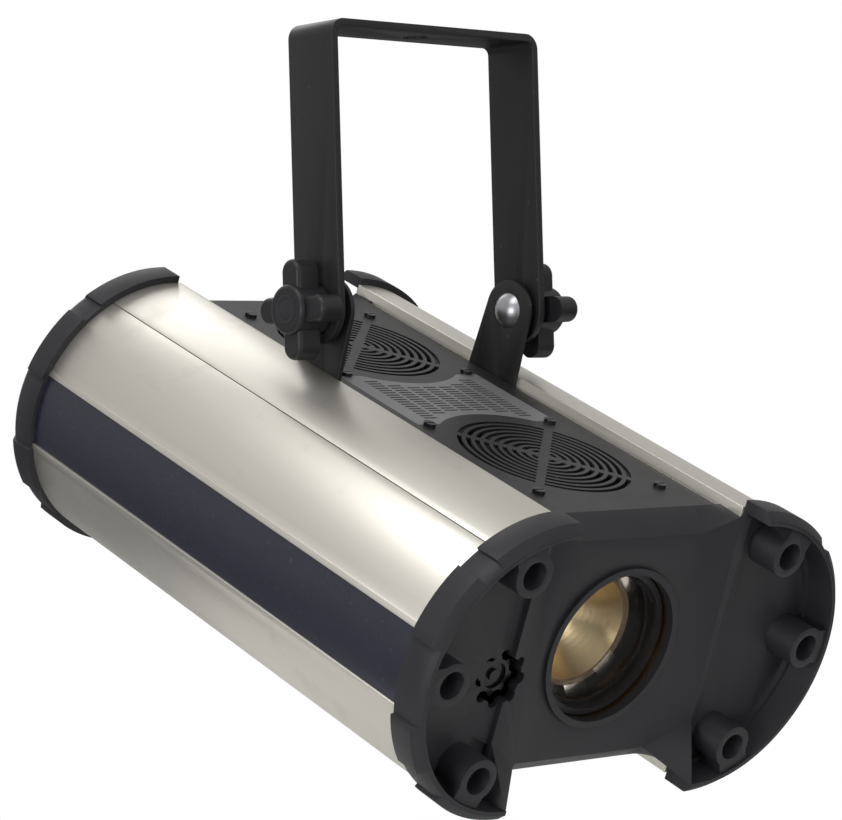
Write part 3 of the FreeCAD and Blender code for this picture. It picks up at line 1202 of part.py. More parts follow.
def fan_rotor(centre_y):
    """Fan hub with pitched blades, turning on the frame's pin."""
    z0 = PLATE_UNDER - FAN_DEPTH + FAN_ROTOR_LIFT
    height = FAN_DEPTH - FAN_ROTOR_LIFT - FAN_STRUT_DEPTH
    centre = V(0, centre_y, z0)
    hub = rod(centre, FAN_HUB_RADIUS, height, Z_AXIS)
    blades = []
    for index in range(FAN_BLADES):
        half = BLADE_THICKNESS / 2
        blade = box(FAN_HUB_RADIUS - 2 * half, FAN_ROTOR_RADIUS, centre_y - half, centre_y + half,
                    z0 - BLADE_OVERRUN, z0 + height + BLADE_OVERRUN)
        blade.rotate(V(FAN_HUB_RADIUS, centre_y, z0 + height / 2), X_AXIS, BLADE_PITCH)
        blade.rotate(centre, Z_AXIS, 360 / FAN_BLADES * index)
        blades.append(blade)
    band = rod(centre + V(0, 0, BLADE_TRIM), FAN_ROTOR_RADIUS, height - 2 * BLADE_TRIM, Z_AXIS)
    blades = [blade.common(band) for blade in blades]
    pin = rod(V(0, centre_y, z0 - FAN_STRUT_DEPTH), FAN_PIN_RADIUS + BOLT_RUNNING_GAP,
              FAN_DEPTH / 2 + FAN_STRUT_DEPTH, Z_AXIS)
    return fuse([hub] + blades).cut(pin)


def small_screws():
    """Pan-head screws of both fans, on the top plate."""
    screws = []
    for centre_y in (-GRILLE_OFFSET, GRILLE_OFFSET):
        for x, y in fan_screw_points(centre_y):
            head = rod(V(x, y, PLATE_Z), SMALL_SCREW_HEAD, SMALL_SCREW_HEAD_DEPTH, Z_AXIS)
            shank = rod(V(x, y, PLATE_Z - SMALL_SCREW_LENGTH), SMALL_SCREW_SHANK, SMALL_SCREW_LENGTH, Z_AXIS)
            half = SCREW_SLOT_WIDTH / 2
            slot = box(x - SMALL_SCREW_HEAD, x + SMALL_SCREW_HEAD, y - half, y + half,
                       PLATE_Z + SMALL_SCREW_HEAD_DEPTH * 0.5, PLATE_Z + SMALL_SCREW_HEAD_DEPTH)
            screws.append(fuse([head, shank]).cut(slot))
    return Part.makeCompound(screws)


# ---- electrical ----
def transformer_core():
    """Laminated core of the lamp transformer on the tray."""
    x, y, z = CORE_SIZE
    middle = TRANSFORMER_Y + COIL_SIZE[1] / 2
    outer = box(-x / 2, x / 2, middle - y / 2, middle + y / 2, CHASSIS_Z, CHASSIS_Z + z)
    cx, cz = COIL_SIZE[0], COIL_SIZE[2]
    window = box(-cx / 2, cx / 2, middle - y / 2, middle + y / 2,
                 CHASSIS_Z + (z - cz) / 2, CHASSIS_Z + (z + cz) / 2)
    return outer.cut(window)


def transformer_coil():
    """Wound coil that fills the core's window and stands out at both ends."""
    x, y, z = COIL_SIZE
    middle = TRANSFORMER_Y + y / 2
    low = CHASSIS_Z + (CORE_SIZE[2] - z) / 2
    return box(-x / 2, x / 2, middle - y / 2, middle + y / 2, low, low + z)


def control_board():
    """Control board on posts in the right side, with its chips and capacitors."""
    board = box(BOARD_X, BOARD_X + BOARD_THICKNESS, -BOARD_HALF_Y, BOARD_HALF_Y, -BOARD_HALF_Z, BOARD_HALF_Z)
    pieces = [board]
    high, long, wide = CHIP_SIZE
    for index in range(CHIP_COUNT):
        y = CHIP_START + CHIP_PITCH * index
        pieces.append(box(BOARD_X - high, BOARD_X, y, y + long, -wide / 2, wide / 2))
        pieces.append(rod(V(BOARD_X - CAPACITOR_HEIGHT, y + long / 2, CAPACITOR_Z), CAPACITOR_RADIUS,
                          CAPACITOR_HEIGHT, X_AXIS))
    return Part.makeCompound(pieces)


def board_posts():
    """Spacers between the board and the side profile's port rib."""
    face = BOARD_X + BOARD_THICKNESS
    reach = LOBE_OFFSET + PORT_RADIUS - PORT_OUTER / 2 - face
    port = rod(polar(PORT_RADIUS, 0, -HALF_LENGTH), PORT_OUTER, BODY_LENGTH, Y_AXIS)
    spots = (-BOARD_HALF_Y * POST_SHARE, BOARD_HALF_Y * POST_SHARE)
    return Part.makeCompound([rod(V(face, y, 0), POST_RADIUS, reach, X_AXIS).cut(port) for y in spots])


def mains_inlet():
    """Flanged mains inlet with three contacts in its recess."""
    x, z = INLET_POS
    face = HALF_LENGTH - NECK_SET_BACK
    flange_x, flange_z = INLET_SIZE
    body_x, body_z = INLET_BODY
    flange = box(x - flange_x / 2, x + flange_x / 2, face, face + PANEL_FLANGE, z - flange_z / 2,
                 z + flange_z / 2)
    back = face - INLET_DEPTH
    body = box(x - body_x / 2, x + body_x / 2, back - INLET_BACK_WALL, face, z - body_z / 2, z + body_z / 2)
    half_x, half_z = body_x / 2 - INLET_WALL, body_z / 2 - INLET_WALL
    recess = box(x - half_x, x + half_x, back, face + PANEL_FLANGE, z - half_z, z + half_z)
    shell = fuse([flange, body]).cut(recess)
    pin_x, pin_z = INLET_PIN[0] / 2, INLET_PIN[1] / 2
    pins = [box(x + dx - pin_x, x + dx + pin_x, back - pin_x, face - INLET_PIN_SUNK, z + dz - pin_z,
                z + dz + pin_z) for dx, dz in INLET_PIN_SPOTS]
    return fuse([shell] + pins)


def rocker_pins(radius, reach):
    """Pins on which the rocker tips, standing out past its sides by a reach."""
    x, z = SWITCH_POS
    y = HALF_LENGTH - NECK_SET_BACK - ROCKER_PIVOT_DEPTH
    half = SWITCH_SIZE[1] / 2 - SWITCH_WALL + reach
    return rod(V(x, y, z - half), radius, 2 * half, Z_AXIS)


def switch_frame():
    """Frame of the mains rocker, with the holes for its pins."""
    x, z = SWITCH_POS
    face = HALF_LENGTH - NECK_SET_BACK
    half_x, half_z = SWITCH_SIZE[0] / 2, SWITCH_SIZE[1] / 2
    wide_x, wide_z = half_x + SWITCH_LIP, half_z + SWITCH_LIP
    flange = box(x - wide_x, x + wide_x, face, face + SWITCH_LIP, z - wide_z, z + wide_z)
    body = box(x - half_x, x + half_x, face - SWITCH_DEPTH, face, z - half_z, z + half_z)
    slim_x, slim_z = half_x - SWITCH_WALL, half_z - SWITCH_WALL
    hollow = box(x - slim_x, x + slim_x, face - SWITCH_HOLLOW, face + SWITCH_LIP, z - slim_z, z + slim_z)
    pins = rocker_pins(ROCKER_PIN_RADIUS + THREAD_PLAY, ROCKER_HOLE_REACH)
    return fuse([flange, body]).cut([hollow, pins])


def power_rocker():
    """Rocker that tips about an axis across the panel."""
    x, z = SWITCH_POS
    face = HALF_LENGTH - NECK_SET_BACK
    half_x = SWITCH_SIZE[0] / 2 - SWITCH_WALL - ROCKER_GAP[0]
    half_z = SWITCH_SIZE[1] / 2 - SWITCH_WALL - ROCKER_GAP[1]
    outline = [(-half_x, -ROCKER_BELOW), (-half_x, ROCKER_HIGH), (0.0, ROCKER_LOW), (half_x, ROCKER_LOW),
               (half_x, -ROCKER_BELOW)]
    points = [V(x + dx, face + dy, z - half_z) for dx, dy in outline]
    return fuse([prism(points, V(0, 0, 2 * half_z)), rocker_pins(ROCKER_PIN_RADIUS, ROCKER_PIN_REACH)])


def fuse_holder():
    """Round fuse carrier with a slotted cap."""
    x, z = FUSE_POS
    face = HALF_LENGTH - NECK_SET_BACK
    margin, height = FUSE_CAP
    width, depth = FUSE_SLOT
    cap = rod(V(x, face, z), FUSE_RADIUS + margin, height, Y_AXIS)
    body = rod(V(x, face - FUSE_LENGTH, z), FUSE_RADIUS, FUSE_LENGTH, Y_AXIS)
    slot = box(x - FUSE_RADIUS, x + FUSE_RADIUS, face + height - depth, face + height, z - width / 2,
               z + width / 2)
    return fuse([cap, body]).cut(slot)


def data_sockets():
    """Two round signal sockets with square flanges and shallow faces."""
    face = HALF_LENGTH - NECK_SET_BACK
    sockets = []
    for x, z in SOCKET_POS:
        half = DATA_FLANGE / 2
        flange = box(x - half, x + half, face, face + PANEL_FLANGE, z - half, z + half)
        body = rod(V(x, face - DATA_DEPTH, z), DATA_SOCKET_RADIUS, DATA_DEPTH, Y_AXIS)
        sunk = face - DATA_FACE_SUNK
        dish = rod(V(x, sunk, z), DATA_SOCKET_RADIUS - DATA_RIM, DATA_FACE_SUNK + PANEL_FLANGE, Y_AXIS)
        circle, radius, depth = DATA_HOLE
        holes = []
        for angle in DATA_HOLE_ANGLES:
            turn = math.radians(angle)
            spot = V(x + circle * math.cos(turn), sunk - depth, z + circle * math.sin(turn))
            holes.append(rod(spot, radius, depth, Y_AXIS))
        sockets.append(fuse([flange, body]).cut([dish] + holes))
    return Part.makeCompound(sockets)


def safety_eye():
    """Steel eye for the safety bond, lying level on the rear face with its hole open above and below."""
    face = HALF_LENGTH - NECK_SET_BACK
    half = SAFETY_EYE_THICKNESS / 2
    outer = SAFETY_EYE_OUTER
    y = face + SAFETY_EYE_THICKNESS + outer
    z0 = SAFETY_EYE_Z - half
    ring = rod(V(0, y, z0), outer, 2 * half, Z_AXIS)
    web = box(-outer, outer, face, y, z0, z0 + 2 * half)
    foot = box(-outer, outer, face, face + SAFETY_EYE_THICKNESS, SAFETY_EYE_Z - outer, SAFETY_EYE_Z + outer)
    hole = rod(V(0, y, z0), SAFETY_EYE_HOLE, 2 * half, Z_AXIS)
    return fuse([ring, web, foot]).cut(hole)


# ---- assembly ----
def hung(shape):
    """Turn a head piece nose-down about the pivot and move it into the hung frame."""
    placed = shape.copy()
    placed.translate(V(0, -PIVOT_BEHIND_MIDDLE, -PIVOT_HEIGHT))
    placed.rotate(ORIGIN, X_AXIS, HEAD_TILT)
    placed.translate(V(0, 0, -YOKE_RISE))
    return placed


def both_sides(shapes):
    """A group with the same pieces on the right and the left."""
    return Part.makeCompound(list(shapes) + [mirrored_x(shape) for shape in shapes])


def head_pieces():
    """Every node of the head and of what turns or slides on it, in head axes."""
    upper, side, strip = upper_profile(), side_profile(), trim_strip()
    knob = clamp_knob()
    return {
        "right_upper_profile": upper, "left_upper_profile": mirrored_x(upper),
        "right_side_profile": side, "left_side_profile": mirrored_x(side),
        "right_trim_strip": strip, "left_trim_strip": mirrored_x(strip),
        "top_plate": top_plate(), "bottom_plate": bottom_plate(), "vent_screen": vent_screen(),
        "front_cap": front_cap(), "rear_cap": rear_cap(),
        "cap_screws": cap_screws(),
        "left_ear": mirrored_x(ear()), "right_ear": ear(), "cross_brace": cross_brace(),
        "carriage_bolts": both_sides([carriage_bolt()]), "pivot_spacers": both_sides([pivot_spacer()]),
        "ear_screws": both_sides(ear_screws()),
        "left_clamp_knob": mirrored_x(knob), "right_clamp_knob": knob,
        "lens_ring": lens_ring(), "lens_barrel": lens_barrel(), "lens_cell": lens_cell(),
        "front_lens": front_lens(), "focus_knob": focus_knob(),
        "gate_dish": gate_dish(), "dish_ring": dish_ring(),
        "chassis_tray": chassis_tray(), "gate_bulkhead": gate_bulkhead(), "motor_bulkhead": motor_bulkhead(),
        "gobo_wheel": wheel(GOBO_Y, WHEEL_OFFSET, False), "gobo_motor": motor(WHEEL_OFFSET, GOBO_Y),
        "colour_wheel": wheel(COLOUR_Y, -WHEEL_OFFSET, True), "colour_motor": motor(-WHEEL_OFFSET, COLOUR_Y),
        "colour_filters": filter_glasses(),
        "condenser_holder": condenser_holder(), "condenser_lens": condenser_lens(),
        "heat_filter": heat_filter(), "filter_clip": filter_clip(),
        "lamp_reflector": lamp_reflector(), "halogen_lamp": lamp(), "lamp_socket": lamp_socket(),
        "lamp_carrier": lamp_carrier(),
        "front_fan_frame": fan_frame(-GRILLE_OFFSET), "front_fan_rotor": fan_rotor(-GRILLE_OFFSET),
        "rear_fan_frame": fan_frame(GRILLE_OFFSET), "rear_fan_rotor": fan_rotor(GRILLE_OFFSET),
        "fan_screws": small_screws(),
        "transformer_core": transformer_core(), "transformer_coil": transformer_coil(),
        "control_board": control_board(), "board_posts": board_posts(),
        "mains_inlet": mains_inlet(), "switch_frame": switch_frame(), "power_rocker": power_rocker(),
        "fuse_holder": fuse_holder(), "data_sockets": data_sockets(), "safety_eye": safety_eye(),
    }


def main():
    """Write one STEP file for every node."""
    os.makedirs("parts", exist_ok=True)
    pieces = {name: hung(shape) for name, shape in head_pieces().items()}
    pieces["yoke_bracket"] = yoke_bracket()
    pieces["knob_washers"] = both_sides([knob_washer()])
    for name, shape in sorted(pieces.items()):
        shape.exportStep(os.path.join("parts", name + ".step"))
        print(name, len(shape.Solids), "solids", "valid" if shape.isValid() else "NOT VALID")


main()
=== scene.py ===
"""Compact yoke-hung stage spot: softened edges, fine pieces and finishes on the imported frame."""
import json
import logging
import math
from dataclasses import dataclass, field
from enum import Enum
from typing import Any, Callable, Iterator, Sequence

import bmesh
import bpy
from mathutils import Euler, Matrix, Vector


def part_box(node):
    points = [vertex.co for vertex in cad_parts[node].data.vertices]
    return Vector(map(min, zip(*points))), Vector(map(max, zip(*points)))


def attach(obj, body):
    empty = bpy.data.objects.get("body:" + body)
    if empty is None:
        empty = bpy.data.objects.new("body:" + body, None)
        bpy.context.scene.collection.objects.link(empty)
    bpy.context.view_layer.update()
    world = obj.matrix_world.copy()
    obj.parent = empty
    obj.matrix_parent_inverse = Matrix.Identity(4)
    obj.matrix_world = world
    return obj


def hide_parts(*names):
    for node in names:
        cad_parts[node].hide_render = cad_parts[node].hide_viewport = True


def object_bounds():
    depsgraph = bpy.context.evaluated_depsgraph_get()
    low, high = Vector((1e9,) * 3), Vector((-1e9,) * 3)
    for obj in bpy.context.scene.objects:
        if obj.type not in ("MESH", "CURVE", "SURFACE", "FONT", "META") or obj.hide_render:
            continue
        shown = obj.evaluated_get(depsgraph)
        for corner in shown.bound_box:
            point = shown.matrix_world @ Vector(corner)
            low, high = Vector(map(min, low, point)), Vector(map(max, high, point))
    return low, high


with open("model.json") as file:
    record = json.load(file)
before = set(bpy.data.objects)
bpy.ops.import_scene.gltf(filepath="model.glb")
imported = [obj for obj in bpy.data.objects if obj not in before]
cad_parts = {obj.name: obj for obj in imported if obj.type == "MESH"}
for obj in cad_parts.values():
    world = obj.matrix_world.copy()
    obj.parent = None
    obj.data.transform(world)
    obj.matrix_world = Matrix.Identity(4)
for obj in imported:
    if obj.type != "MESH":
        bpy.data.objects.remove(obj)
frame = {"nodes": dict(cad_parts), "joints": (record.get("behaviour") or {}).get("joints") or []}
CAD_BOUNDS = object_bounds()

logging.basicConfig(level=logging.INFO, format="%(name)s: %(message)s")
LOG = logging.getLogger("stage_spot")

Colour = tuple[float, float, float, float]

MM = 0.001                          # one millimetre in metres
MERGE_DISTANCE = 2e-6               # vertices of loose triangles nearer than this are one
FLAT_SEAM = math.radians(0.4)       # faces that meet flatter than this become one
FACING_UP = 0.9                     # least upward part of a normal that counts as facing up


# ---------------------------------------------------------------------------------------
# Shader graph helpers
# ---------------------------------------------------------------------------------------
class Expr:
    """A shader socket that arithmetic can be done on."""

    def __init__(self, graph: "Graph", socket: bpy.types.NodeSocket) -> None:
        """Wrap an output socket of a graph."""
        self.graph = graph
        self.socket = socket

    def __add__(self, other: "Expr | float") -> "Expr":
        """Sum."""
        return self.graph.math("ADD", self, other)

    __radd__ = __add__

    def __sub__(self, other: "Expr | float") -> "Expr":
        """Difference."""
        return self.graph.math("SUBTRACT", self, other)

    def __rsub__(self, other: "Expr | float") -> "Expr":
        """Difference, reflected."""
        return self.graph.math("SUBTRACT", other, self)

    def __mul__(self, other: "Expr | float") -> "Expr":
        """Product."""
        return self.graph.math("MULTIPLY", self, other)

    __rmul__ = __mul__

    def clamped(self, low: float, high: float) -> "Expr":
        """This value held between two limits."""
        return self.graph.math("MINIMUM", self.graph.math("MAXIMUM", self, low), high)


class Tree(Enum):
    """What a node tree belongs to."""

    MATERIAL = "materials"
    WORLD = "worlds"


class Graph:
    """A material's or world's node tree with one method for adding any node."""

    def __init__(self, name: str, kind: Tree = Tree.MATERIAL) -> None:
        """Start an empty material or world.

        Args:
            name: Its name.
            kind: What to start.
        """
        self.owner = getattr(bpy.data, kind.value).new(name)
        self.owner.use_nodes = True
        self.tree = self.owner.node_tree
        self.tree.nodes.clear()

    def node(self, kind: str, settings: dict[str, Any] | None = None,
             inputs: dict[str | int, Any] | None = None) -> bpy.types.Node:
        """Add any node.

        Args:
            kind: The node's type name.
            settings: Attributes to set first; "stops" gives a ramp's (place, colour) pairs.
            inputs: Socket name or number to a value, an Expr or a socket.

        Returns:
            The new node.
        """
        node = self.tree.nodes.new(kind)
        for key, value in (settings or {}).items():
            if key == "stops":
                ramp = node.color_ramp
                ramp.elements[0].position, ramp.elements[1].position = value[0][0], value[-1][0]
                ramp.elements[0].color, ramp.elements[1].color = value[0][1], value[-1][1]
                for place, colour in value[1:-1]:
                    ramp.elements.new(place).color = colour
            else:
                setattr(node, key, value)
        for key, value in (inputs or {}).items():
            self.feed(node.inputs[key], value)
        return node

    def feed(self, socket: bpy.types.NodeSocket, value: Any) -> None:
        """Set a socket's value, or link something to it.

        Args:
            socket: The input socket.
            value: A plain value to set, or an Expr or an output socket to link.
        """
        if isinstance(value, Expr):
            self.tree.links.new(value.socket, socket)
        elif isinstance(value, bpy.types.NodeSocket):
            self.tree.links.new(value, socket)
        else:
            socket.default_value = value

    def math(self, operation: str, *values: "Expr | float") -> Expr:
        """A Math node.

        Args:
            operation: The node's operation.
            values: What goes into its sockets, in order.

        Returns:
            Its result.
        """
        node = self.node("ShaderNodeMath", {"operation": operation}, dict(enumerate(values)))
        return Expr(self, node.outputs[0])

    def mix(self, factor: "Expr | float", low: Any, high: Any) -> Expr:
        """A mix of two colours.

        Args:
            factor: Share of the second colour.
            low: First colour, as RGBA values or an Expr.
            high: Second colour, likewise.

        Returns:
            The mixed colour.
        """
        node = self.node("ShaderNodeMix", {"data_type": "RGBA"}, {0: factor, 6: low, 7: high})
        return Expr(self, node.outputs[2])

    def place(self, turn: float = 0.0, scale: Sequence[float] = (1, 1, 1)) -> Expr:
        """Object coordinates, turned about X and stretched.

        Args:
            turn: Angle about X in radians.
            scale: Stretch of the pattern along the turned axes.

        Returns:
            The mapped coordinates.
        """
        coordinates = self.node("ShaderNodeTexCoord").outputs["Object"]
        turned = self.node("ShaderNodeMapping",
                           inputs={"Vector": coordinates, "Rotation": (turn, 0.0, 0.0)})
        mapped = self.node("ShaderNodeMapping",
                           inputs={"Vector": turned.outputs[0], "Scale": tuple(scale)})
        return Expr(self, mapped.outputs[0])

    def noise(self, where: Expr, scale: float, detail: float = 3.0,
              roughness: float = 0.5) -> Expr:
        """Noise between 0 and 1.

        Args:
            where: The coordinates.
            scale: Pattern repeats in a metre.
            detail: Finer layers added.
            roughness: Strength of each finer layer.

        Returns:
            The noise.
        """
        node = self.node("ShaderNodeTexNoise", inputs={"Vector": where, "Scale": scale,
                                                       "Detail": detail, "Roughness": roughness})
        return Expr(self, node.outputs["Fac"])

    def bump(self, height: Expr, distance: float, strength: float) -> Expr:
        """Bump normal from a height.

        Args:
            height: The height, about 0 to 1.
            distance: Depth in metres of a height of 1.
            strength: How much of the bump shows.

        Returns:
            The normal.
        """
        node = self.node("ShaderNodeBump", inputs={"Height": height, "Distance": distance,
                                                   "Strength": strength})
        return Expr(self, node.outputs[0])

    def rim(self, blend: float) -> Expr:
        """Fresnel-like value, larger where the surface is seen edge on."""
        weight = self.node("ShaderNodeLayerWeight", inputs={"Blend": blend})
        return Expr(self, weight.outputs["Fresnel"])

    def surface(self, **sockets: Any) -> bpy.types.Material:
        """Put a Principled surface on the output.

        Args:
            sockets: Its inputs by name, with underscores for spaces.

        Returns:
            The finished material.
        """
        inputs = {key.replace("_", " "): value for key, value in sockets.items()}
        shader = self.node("ShaderNodeBsdfPrincipled", inputs=inputs)
        output = self.node("ShaderNodeOutputMaterial")
        self.tree.links.new(shader.outputs[0], output.inputs["Surface"])
        return self.owner


def rgba(red: float, green: float, blue: float) -> Colour:
    """Opaque colour."""
    return (red, green, blue, 1.0)


def shade(colour: Sequence[float], factor: float) -> Colour:
    """A colour made lighter or darker."""
    return rgba(*(min(1.0, channel * factor) for channel in colour[:3]))


# ---------------------------------------------------------------------------------------
# The head's own axes
# ---------------------------------------------------------------------------------------
def joint(name: str) -> dict[str, Any]:
    """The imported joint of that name."""
    return next(entry for entry in frame["joints"] if entry["name"] == name)


@dataclass(frozen=True)
class HeadAxes:
    """Axes of the tilted head: x to the right, y rearward along the beam, z off its top plate."""

    up: Vector = field(default_factory=lambda: Vector(joint("front_fan_spin")["axis"]))
    back: Vector = field(default_factory=lambda: Vector(joint("gobo_turn")["axis"]))

    @property
    def tilt(self) -> float:
        """Nose-down angle in radians."""
        return math.atan2(self.back.z, self.back.y)

    @property
    def turn(self) -> Matrix:
        """Matrix from the head's axes to the frame's, about the frame's origin."""
        return Matrix((self.back.cross(self.up), self.back, self.up)).transposed().to_4x4()

    def span(self, node: str) -> tuple[Vector, Vector]:
        """Extent of a CAD node along the head's axes.

        Args:
            node: The CAD node.

        Returns:
            Its lowest and highest corners.
        """
        back = self.turn.inverted()
        spots = [back @ vertex.co for vertex in frame["nodes"][node].data.vertices]
        return (Vector([min(spot[axis] for spot in spots) for axis in range(3)]),
                Vector([max(spot[axis] for spot in spots) for axis in range(3)]))


HEAD = HeadAxes()


# ---------------------------------------------------------------------------------------
# Finishes
# ---------------------------------------------------------------------------------------
@dataclass(frozen=True)
class Extrusion:
    """Satin anodised aluminium extrusion with fine draw lines along its length."""

    name: str = "satin_extrusion"
    colour: Colour = rgba(0.66, 0.635, 0.58)
    roughness: float = 0.42

    def build(self) -> bpy.types.Material:
        """Make the material.

        Returns:
            The material.
        """
        g = Graph(self.name)
        lines = g.noise(g.place(-HEAD.tilt, (900, 6, 900)), 1.0, 4.0, 0.65)
        broad = g.noise(g.place(-HEAD.tilt, (60, 1.5, 60)), 1.0, 2.0)
        grain = g.noise(g.place(), 3200, 2.0)
        dust = g.noise(g.place(), 38, 5.0, 0.6)
        streak = (lines * 0.5 + broad * 0.5).clamped(0, 1)
        tone = g.mix(streak, shade(self.colour, 0.93), shade(self.colour, 1.05))
        marked = g.mix(((dust - 0.6) * 3.0).clamped(0, 0.18), tone, shade(self.colour, 0.72))
        dusty = (dust - 0.55).clamped(0, 1) * 0.25
        rough = self.roughness - 0.07 + lines * 0.09 + grain * 0.05 + dusty
        height = lines * 0.7 + grain * 0.3
        return g.surface(Base_Color=marked, Metallic=0.93, Roughness=rough,
                         Normal=g.bump(height, 0.00002, 0.5))


@dataclass(frozen=True)
class Moulding:
    """Black moulded plastic with a spark-eroded grain and light rub marks."""

    name: str = "black_moulding"
    colour: Colour = rgba(0.0175, 0.017, 0.0205)
    roughness: float = 0.52
    grain: float = 0.00006

    def build(self) -> bpy.types.Material:
        """Make the material.

        Returns:
            The material.
        """
        g = Graph(self.name)
        where = g.place()
        fine = g.noise(where, 1900, 3.0, 0.6)
        cloud = g.noise(where, 45, 4.0)
        scuff = ((g.noise(g.place(0.6, (70, 700, 260)), 1.0, 3.0, 0.7) - 0.66) * 5.0).clamped(0, 1)
        tone = g.mix(cloud, shade(self.colour, 0.82), shade(self.colour, 1.28))
        rubbed = g.mix(scuff * 0.35, tone, shade(self.colour, 2.3))
        rough = self.roughness + (fine - 0.5) * 0.14 + (cloud - 0.5) * 0.12 - scuff * 0.1
        return g.surface(Base_Color=rubbed, Roughness=rough, Normal=g.bump(fine, self.grain, 0.55),
                         Specular_IOR_Level=0.36)


@dataclass(frozen=True)
class PowderCoat:
    """Black powder-coated steel with orange peel and small grey chips."""

    name: str = "black_powder_coat"
    colour: Colour = rgba(0.0125, 0.0125, 0.014)
    roughness: float = 0.42

    def build(self) -> bpy.types.Material:
        """Make the material.

        Returns:
            The material.
        """
        g = Graph(self.name)
        where = g.place()
        peel = g.noise(where, 620, 2.0, 0.4)
        fine = g.noise(where, 2600, 2.0)
        cloud = g.noise(where, 28, 5.0, 0.6)
        speck = ((g.noise(where, 410, 2.0, 0.3) - 0.74) * 12.0).clamped(0, 1)
        tone = g.mix(cloud, shade(self.colour, 0.8), shade(self.colour, 1.3))
        chipped = g.mix(speck * 0.4, tone, rgba(0.16, 0.16, 0.165))
        rough = self.roughness + (cloud - 0.5) * 0.18 + fine * 0.06
        height = peel * 0.75 + fine * 0.25
        return g.surface(Base_Color=chipped, Roughness=rough, Normal=g.bump(height, 0.00008, 0.45),
                         Specular_IOR_Level=0.4)


@dataclass(frozen=True)
class Film:
    """Smooth film in one deep colour, with a faint ripple in its gloss and a trace of dust."""

    name: str = "navy_film"
    colour: Colour = rgba(0.0085, 0.0095, 0.022)

    def build(self) -> bpy.types.Material:
        """Make the material.

        Returns:
            The material.
        """
        g = Graph(self.name)
        ripple = g.noise(g.place(-HEAD.tilt, (240, 40, 240)), 1.0, 3.0)
        dust = g.noise(g.place(), 420, 4.0, 0.7)
        tone = g.mix(ripple, shade(self.colour, 0.85), shade(self.colour, 1.25))
        dusty = g.mix(((dust - 0.62) * 2.5).clamped(0, 0.12), tone, rgba(0.2, 0.2, 0.22))
        rough = 0.3 + ripple * 0.08 + dust * 0.08
        return g.surface(Base_Color=dusty, Roughness=rough, Normal=g.bump(ripple, 0.00006, 0.3),
                         Coat_Weight=0.25, Coat_Roughness=0.18)


@dataclass(frozen=True)
class Plated:
    """Plated or drawn metal with fine rub lines and slight tarnish."""

    name: str
    colour: Colour
    roughness: float = 0.3
    tarnish: float = 0.35
    stretch: tuple[float, float, float] = (500.0, 500.0, 90.0)

    def build(self) -> bpy.types.Material:
        """Make the material.

        Returns:
            The material.
        """
        g = Graph(self.name)
        rub = g.noise(g.place(0.0, self.stretch), 1.0, 4.0, 0.6)
        cloud = g.noise(g.place(), 130, 4.0, 0.6)
        tone = g.mix(cloud * self.tarnish, self.colour, shade(self.colour, 0.55))
        rough = self.roughness + (rub - 0.5) * 0.16 + cloud * 0.08
        return g.surface(Base_Color=tone, Metallic=1.0, Roughness=rough,
                         Normal=g.bump(rub, 0.00002, 0.4))


@dataclass(frozen=True)
class GoldCoating:
    """Evaporated gold coating, bright and warm, with darker brown patches painted in as
    reflections of the dark barrel.
    """

    name: str = "gold_coating"
    colour: Colour = rgba(0.95, 0.75, 0.44)

    def build(self) -> bpy.types.Material:
        """Make the material.

        Returns:
            The material.
        """
        g = Graph(self.name)
        cloud = g.noise(g.place(), 60, 2.0, 0.45)
        # painted reflection: darker brown patches standing in for the dark barrel reflected in the
        # dish
        painted_reflection = ((g.noise(g.place(), 34, 3.0, 0.5) - 0.5) * 3.0).clamped(0, 0.7)
        tone = g.mix(cloud, shade(self.colour, 0.86), shade(self.colour, 1.06))
        warm = g.mix(painted_reflection, tone, rgba(0.5, 0.31, 0.13))
        return g.surface(Base_Color=warm, Metallic=1.0, Roughness=0.3 + cloud * 0.08,
                         Normal=g.bump(cloud, 0.0004, 0.18))


@dataclass(frozen=True)
class ClearGlass:
    """Clear or tinted glass with a trace of dust."""

    name: str
    tint: Colour = rgba(0.05, 0.052, 0.055)
    alpha: float = 0.05

    def build(self) -> bpy.types.Material:
        """Make the material.

        Returns:
            The material.
        """
        g = Graph(self.name)
        dust = g.noise(g.place(), 260, 4.0, 0.65)
        film = ((dust - 0.6) * 1.6).clamped(0, 0.4)
        tone = g.mix(film, self.tint, rgba(0.7, 0.7, 0.68))
        return g.surface(Base_Color=tone, Roughness=0.02 + film * 0.12,
                         Alpha=(self.alpha + film * 0.05 + g.rim(0.12) * 0.5).clamped(0, 1),
                         Specular_IOR_Level=0.7, Coat_Weight=0.5, Coat_Roughness=0.02)


@dataclass(frozen=True)
class Laminations:
    """Stacked transformer steel: thin dark lines between the sheets."""

    name: str = "core_laminations"
    pitch: float = 1.0

    def build(self) -> bpy.types.Material:
        """Make the material.

        Returns:
            The material.
        """
        g = Graph(self.name)
        split = g.node("ShaderNodeSeparateXYZ", inputs={0: g.place(-HEAD.tilt)})
        along = Expr(g, split.outputs[1])
        wave = g.math("SINE", along * (2 * math.pi / (self.pitch * MM)))
        line = ((wave - 0.4) * 1.7).clamped(0, 1)
        cloud = g.noise(g.place(), 70, 4.0)
        tone = g.mix(cloud, rgba(0.11, 0.105, 0.1), rgba(0.2, 0.19, 0.18))
        return g.surface(Base_Color=g.mix(line * 0.7, tone, rgba(0.03, 0.03, 0.03)), Metallic=0.6,
                         Roughness=0.5 + cloud * 0.15, Normal=g.bump(line, 0.0001, 0.5))


